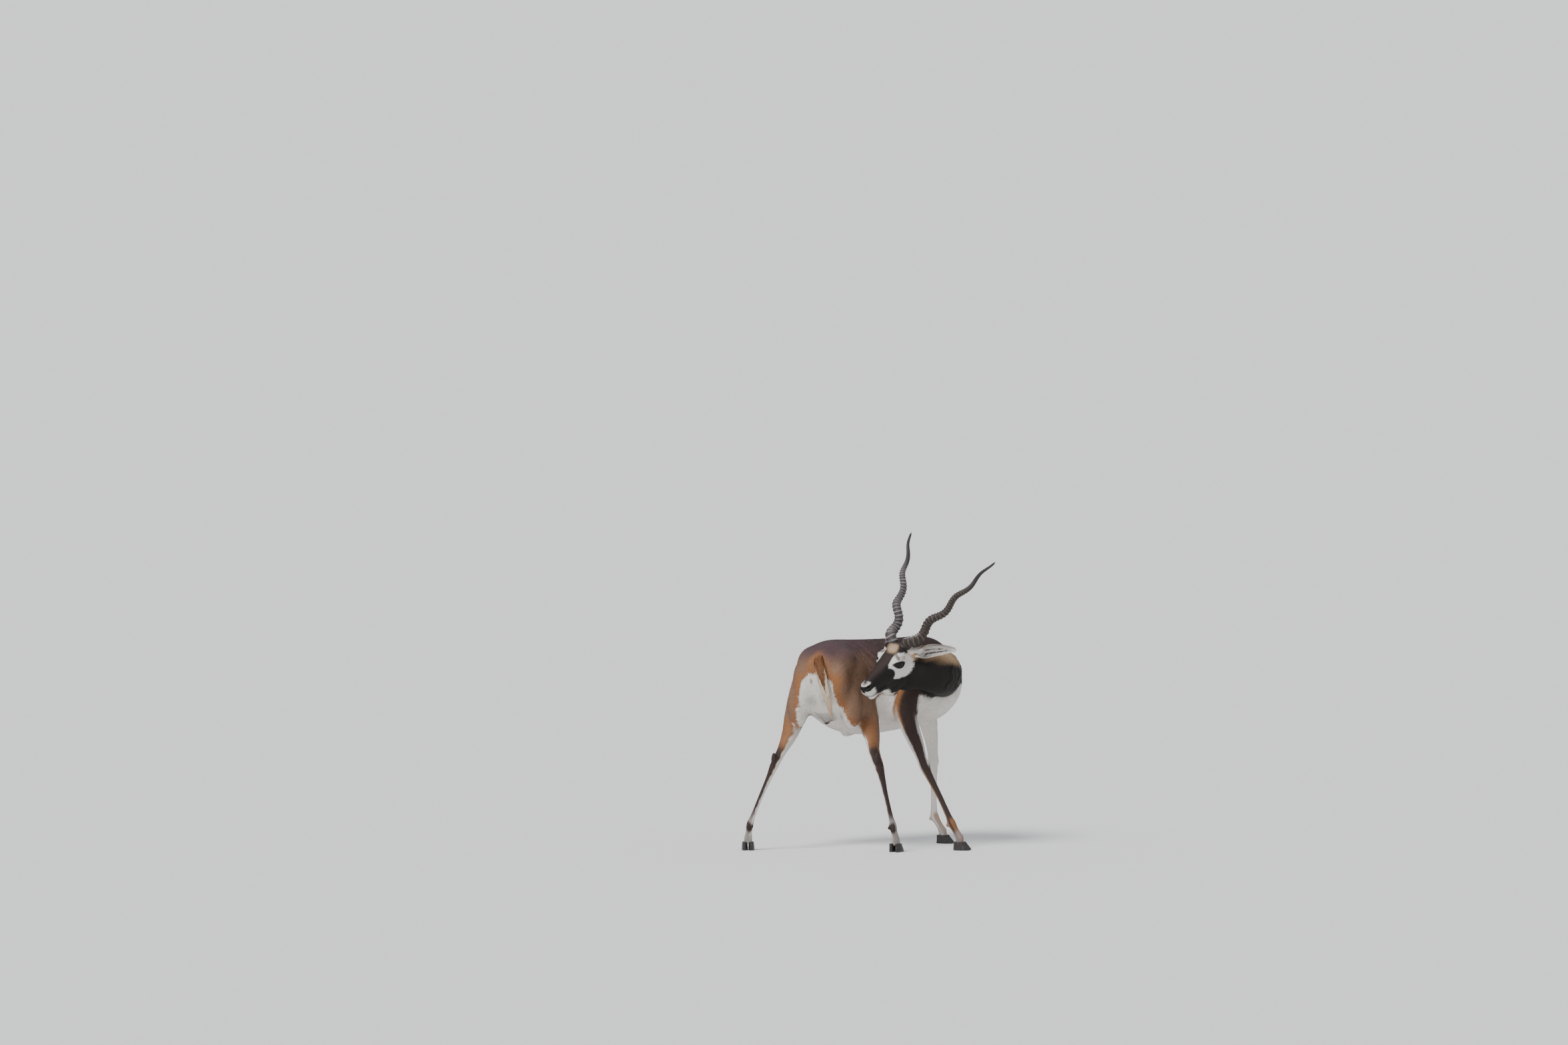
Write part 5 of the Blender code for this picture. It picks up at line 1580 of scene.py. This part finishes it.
@dataclass(frozen=True)
class Hoof:
    """One claw of a hoof: flat sole, straight inner wall, curved outer wall, narrow toe."""

    limb: Limb
    side: str
    length: float = 0.056
    width: float = 0.0200
    cleft: float = 0.0018
    layers: tuple = (
        (0.0, 0.985, 0.985, 0.0060),
        (0.0012, 1.00, 1.01, 0.0060),
        (0.005, 0.98, 1.04, 0.0055),
        (0.013, 0.86, 0.99, 0.0028),
        (0.021, 0.74, 0.92, -0.0004),
        (0.0277, 0.66, 0.86, -0.0030),
    )
    sides: int = 40

    def build(self, finish: Material) -> Thing:
        """The claw: half length * cos ahead, half width * sin aside, in layers up to the coronet."""
        toe = turned(self.limb.toe_heading)
        origin = np.array((*self.limb.rows[-1][:2], 0.0))
        angles = np.linspace(0, 2 * np.pi, self.sides, endpoint=False)
        forward = np.cos(angles)
        aside = np.sin(angles) * np.where(forward > 0, 1 - 0.35 * forward**2, 1.0) * self.width / 2
        height, long, wide, shift = curve_through(self.layers, 40).T[..., None]
        grooves = 1 - 0.007 * np.sin(height * 2 * np.pi / 0.0042) * smooth(height, 0.003, 0.006)
        out = np.maximum(self.cleft / 2 + self.width / 2 + aside * wide * grooves, self.cleft / 2)
        ahead = forward * self.length / 2 * long * grooves + shift
        grid = origin + np.stack([SIDES[self.side] * out, ahead, height + 0 * out], axis=-1) @ toe
        name = "claw_%s_%s" % (self.limb.name, self.side)
        return put(closed_mesh(grid), name.replace("claw", "hoof"), finish, [name])


class Value:
    """A shader socket that takes part in arithmetic; each operation adds a Math node."""

    def __init__(self, graph: "Graph", socket: bpy.types.NodeSocket) -> None:
        """Wrap one socket of a graph."""
        self.graph, self.socket = graph, socket

    def math(self, operation: str, *others: "Value | float") -> "Value":
        """The result of a Math node on this value and others."""
        return self.graph.math(operation, self, *others)

    def __add__(self, other: "Value | float") -> "Value":
        """Sum."""
        return self.math("ADD", other)

    def __sub__(self, other: "Value | float") -> "Value":
        """Difference."""
        return self.math("SUBTRACT", other)

    def __rsub__(self, other: float) -> "Value":
        """Difference from a number."""
        return self.graph.math("SUBTRACT", other, self)

    def __mul__(self, other: "Value | float") -> "Value":
        """Product."""
        return self.math("MULTIPLY", other)

    def __truediv__(self, other: "Value | float") -> "Value":
        """Quotient."""
        return self.math("DIVIDE", other)

    def __pow__(self, other: "Value | float") -> "Value":
        """Power."""
        return self.math("POWER", other)

    __radd__ = __add__
    __rmul__ = __mul__

    def step(self, low: float, high: float) -> "Value":
        """A soft step from 0 at low to 1 at high."""
        settings = {"interpolation_type": "SMOOTHSTEP"}
        return self.graph.node("ShaderNodeMapRange", settings, {"Value": self, "From Min": low, "From Max": high})


class Graph:
    """One material's nodes round its Principled shader."""

    def __init__(self, name: str) -> None:
        """Start a material with only its shader."""
        self.material = bpy.data.materials.new(name)
        self.material.use_nodes = True
        self.tree = self.material.node_tree
        self.shader = self.tree.nodes["Principled BSDF"]

    def node(self, kind: str, settings: dict, sockets: dict, output: int | str = 0) -> Value:
        """Add a node.

        Args:
            kind: the node's type.
            settings: its properties, and stops for a ramp, which are set first.
            sockets: a number, a colour or a value for each input.
            output: which of its outputs to give back.

        Returns:
            That output as a value.
        """
        made = self.tree.nodes.new(kind)
        for key, value in settings.items():
            setattr(made, key, value)
        for key, value in sockets.items():
            self.feed(made.inputs[key], value)
        return Value(self, made.outputs[output])

    def feed(self, place: bpy.types.NodeSocket, value: object) -> None:
        """Give an input a value, or link one to it."""
        if isinstance(value, Value):
            self.tree.links.new(value.socket, place)
        else:
            place.default_value = (*value, 1.0) if isinstance(value, tuple) and place.type == "RGBA" else value

    def math(self, operation: str, *values: "Value | float") -> Value:
        """The result of a Math node."""
        return self.node("ShaderNodeMath", {"operation": operation}, dict(enumerate(values)))

    def mix(self, share: "Value | float", first: object, second: object) -> Value:
        """A colour between two colours."""
        return self.node("ShaderNodeMix", {"data_type": "RGBA"}, {0: share, 6: first, 7: second}, 2)

    def attribute(self, name: str) -> list[Value]:
        """The four numbers kept for each vertex under a name."""
        colour = self.node("ShaderNodeAttribute", {"attribute_name": name}, {}, "Color")
        alpha = self.node("ShaderNodeAttribute", {"attribute_name": name}, {}, "Alpha")
        return [self.node("ShaderNodeSeparateColor", {}, {"Color": colour}, k) for k in range(3)] + [alpha]

    def place(self, scale: Sequence[float] = (1.0, 1.0, 1.0)) -> Value:
        """Object coordinates, stretched."""
        here = self.node("ShaderNodeTexCoord", {}, {}, "Object")
        return self.node("ShaderNodeMapping", {}, {"Vector": here, "Scale": tuple(scale)})

    def noise(self, scale: float, detail: float = 3.0, place: Value | None = None) -> Value:
        """Soft noise between about 0.3 and 0.7."""
        sockets = {"Vector": place or self.place(), "Scale": scale, "Detail": detail}
        return self.node("ShaderNodeTexNoise", {}, sockets)

    def finish(self, colour: object, roughness: object, bump: Value | None = None, depth: float = 0.001,
               **fixed: float) -> Material:
        """Feed the shader.

        Args:
            colour: base colour.
            roughness: roughness.
            bump: height field for the normal.
            depth: height of the bump in metres.
            fixed: other inputs, with _ for a space.

        Returns:
            The material.
        """
        self.feed(self.shader.inputs["Base Color"], colour)
        self.feed(self.shader.inputs["Roughness"], roughness)
        for key, value in fixed.items():
            self.shader.inputs[key.replace("_", " ")].default_value = value
        if bump is not None:
            normal = self.node("ShaderNodeBump", {}, {"Height": bump, "Distance": depth, "Strength": 1.0})
            self.feed(self.shader.inputs["Normal"], normal)
        return self.material


@dataclass(frozen=True)
class CoatFinish:
    """Short hair in the colours painted on skin and tufts, lighter or darker by their tone."""

    darkest: tuple = (0.60, 0.60, 0.60)
    lightest: tuple = (1.40, 1.40, 1.40)

    def material(self) -> Material:
        """The coat's material: painted colour times tone, with fine hairs in its bump."""
        graph = Graph("coat")
        painted = graph.node("ShaderNodeAttribute", {"attribute_name": "marking"}, {}, "Color")
        tone = graph.node("ShaderNodeAttribute", {"attribute_name": "marking"}, {}, "Alpha")
        grain = graph.noise(700.0, 2.0)
        shade = graph.mix(tone + (grain - 0.5) * 0.5, self.darkest, self.lightest)
        multiply = {"data_type": "RGBA", "blend_type": "MULTIPLY"}
        colour = graph.node("ShaderNodeMix", multiply, {0: 1.0, 6: painted, 7: shade}, 2)
        return graph.finish(colour, 0.66, grain, 0.0004, Specular_IOR_Level=0.22)


@dataclass(frozen=True)
class HornFinish:
    """Horn that is paler on its worn crests and dark at its smooth tip, with a painted highlight on its upper side near
    the root.
    """

    name: str
    deep: tuple
    worn: tuple
    top_highlight_strength: float
    tip: tuple = (0.022, 0.018, 0.016)
    top_highlight: tuple = (0.340, 0.300, 0.260)

    def material(self) -> Material:
        """The horn's material, by crest and share, with a fine grain and a painted highlight where the horn faces up.
        """
        graph = Graph(self.name)
        crest, share, upward, _ = graph.attribute("ring")
        grain = graph.noise(260.0, 3.0)
        broad = graph.noise(45.0, 2.0)
        crests = crest.step(0.30, 0.95) * (0.45 + broad.step(0.35, 0.65) * 0.55)
        colour = graph.mix(crests, self.deep, self.worn)
        # Painted highlight: paler where the horn faces up near its root, broken up by the grain.
        top_highlight = upward.step(0.55, 0.95) * (1.0 - share.step(0.10, 0.34)) * grain.step(0.30, 0.55) * self.top_highlight_strength
        colour = graph.mix(top_highlight, colour, self.top_highlight)
        colour = graph.mix(share.step(0.66, 0.80), colour, self.tip)
        return graph.finish(colour, 0.55, grain, 0.0003, Specular_IOR_Level=0.40)


@dataclass(frozen=True)
class HoofFinish:
    """Dark hoof horn, a little dusty in places."""

    horn: tuple = (0.020, 0.017, 0.016)
    dust: tuple = (0.070, 0.055, 0.042)

    def material(self) -> Material:
        """The hoof's material."""
        graph = Graph("hoof")
        speckle = graph.noise(160.0, 4.0)
        colour = graph.mix(speckle.step(0.50, 0.80), self.horn, self.dust)
        return graph.finish(colour, 0.45, speckle, 0.0002)


@dataclass(frozen=True)
class EyeFinish:
    """A wet dark brown eye with a black level pupil."""

    iris: tuple = (0.012, 0.006, 0.004)
    pupil: tuple = (0.002, 0.002, 0.002)

    def material(self) -> Material:
        """The eye's material."""
        graph = Graph("eye")
        level, upright, _, _ = graph.attribute("disc")
        reach = (level * level / 0.16 + upright * upright / 0.045).step(0.7, 1.2)
        wet = {"Specular_IOR_Level": 0.12, "Coat_Weight": 0.25, "Coat_Roughness": 0.03}
        return graph.finish(graph.mix(reach, self.pupil, self.iris), 0.12, **wet)


@dataclass(frozen=True)
class EarFinish:
    """Pale hair inside and buff outside, with dark bare furrows inside."""

    pale: tuple = (0.640, 0.580, 0.520)
    outer: tuple = (0.260, 0.170, 0.110)
    bare: tuple = (0.060, 0.045, 0.042)

    def material(self) -> Material:
        """The ear's material, by the place on its leaf."""
        graph = Graph("ear")
        share, lay, inside, _ = graph.attribute("leaf")
        within = share.step(0.24, 0.36) * (1.0 - share.step(0.86, 0.96))
        furrow = 0.0
        for place in FURROWS:
            furrow = (1.0 - (lay - place).math("ABSOLUTE").step(0.09, 0.20)) * within + furrow
        outside = graph.mix(share.step(0.10, 0.34), self.pale, self.outer)
        colour = graph.mix(inside.step(0.4, 0.6), outside, graph.mix(furrow, self.pale, self.bare))
        return graph.finish(colour, 0.7, graph.noise(700.0), 0.0005)


@dataclass(frozen=True)
class Studio:
    """Pale floor, soft light and the camera that keeps the photo's framing."""

    frame_centre: tuple = (-0.113, 1.091)
    metres_per_pixel: float = 0.0022
    image_width: int = 2353
    elevation: float = 4.0
    distance: float = 45.0
    sensor: float = 36.0
    floor_size: float = 320.0
    floor_colour: tuple = (0.80, 0.79, 0.77)

    def camera(self) -> None:
        """A long lens from behind the animal, its axis through the frame's centre."""
        tilt = math.radians(self.elevation)
        upward = np.array((0.0, math.sin(tilt), math.cos(tilt)))
        forward = np.array((0.0, math.cos(tilt), -math.sin(tilt)))
        aim = np.array((self.frame_centre[0], 0.0, 0.0)) + upward * self.frame_centre[1] + SHIFT
        data = bpy.data.cameras.new("camera")
        data.sensor_width = self.sensor
        data.sensor_fit = "HORIZONTAL"
        data.lens = self.sensor * self.distance / (self.metres_per_pixel * self.image_width)
        data.clip_end = 2 * self.floor_size
        camera = bpy.data.objects.new("camera", data)
        camera.location = aim - forward * self.distance
        camera.rotation_euler = (math.pi / 2 - tilt, 0.0, 0.0)
        bpy.context.collection.objects.link(camera)
        bpy.context.scene.camera = camera

    def lights(self) -> None:
        """A wide sun over the viewer's left shoulder, and an even pale sky."""
        data = bpy.data.lights.new("sun", "SUN")
        data.energy = 3.2
        data.angle = math.radians(20)
        sun = bpy.data.objects.new("sun", data)
        sun.rotation_euler = (math.radians(38), math.radians(-14), math.radians(-20))
        bpy.context.collection.objects.link(sun)
        world = bpy.data.worlds.new("sky")
        world.use_nodes = True
        world.node_tree.nodes["Background"].inputs["Color"].default_value = (0.86, 0.90, 0.96, 1.0)
        world.node_tree.nodes["Background"].inputs["Strength"].default_value = 0.75
        bpy.context.scene.world = world

    def floor(self) -> None:
        """A flat pale floor."""
        half = self.floor_size / 2
        corners = np.array([(-half, -half, 0.0), (half, -half, 0.0), (half, half, 0.0), (-half, half, 0.0)])
        mesh = mesh_of(corners, np.arange(4)[None])
        graph = Graph("floor")
        mesh.materials.append(graph.finish(self.floor_colour, 0.9))
        floor = bpy.data.objects.new("floor", mesh)
        bpy.context.collection.objects.link(floor)


def main() -> None:
    """Build every piece in order."""
    logging.basicConfig(level=logging.INFO, format="%(message)s")
    studio = Studio()
    studio.camera()
    studio.lights()
    studio.floor()
    coat = CoatFinish().material()
    flesh = Flesh()
    skin = flesh.skin()
    survey = Survey.of(read(skin), read_normals(skin))
    mark(skin, "marking", np.column_stack([MARKINGS.paint(survey), np.full(len(skin.vertices), 0.45)]))
    Coat().build(skin, coat)
    put(skin, "skin", coat, flesh.nodes)
    # Lit and shaded copies of one horn finish: the far horn painted lighter as painted light, the near horn darker as
    # painted shade, each with its own strength of the painted top highlight.
    horns = (HornFinish("horn_near_painted_shade", (0.022, 0.015, 0.012), (0.085, 0.062, 0.050), 0.9),
             HornFinish("horn_far_painted_light", (0.050, 0.040, 0.042), (0.215, 0.185, 0.180), 0.3))
    for horn, finish in zip(HORNS, horns):
        horn.build(finish.material())
    ear_finish = EarFinish().material()
    for ear in EARS:
        ear.build(ear_finish)
        ear.hair(coat)
    eye_finish = EyeFinish().material()
    for side in SIDES:
        Eye(side).build(eye_finish)
    tail = Tail()
    tail.build(coat)
    tail.hair(coat)
    hoof_finish = HoofFinish().material()
    for limb in LIMBS:
        for side in SIDES:
            Hoof(limb, side).build(hoof_finish)
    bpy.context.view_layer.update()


if __name__ == "__main__":
    main()
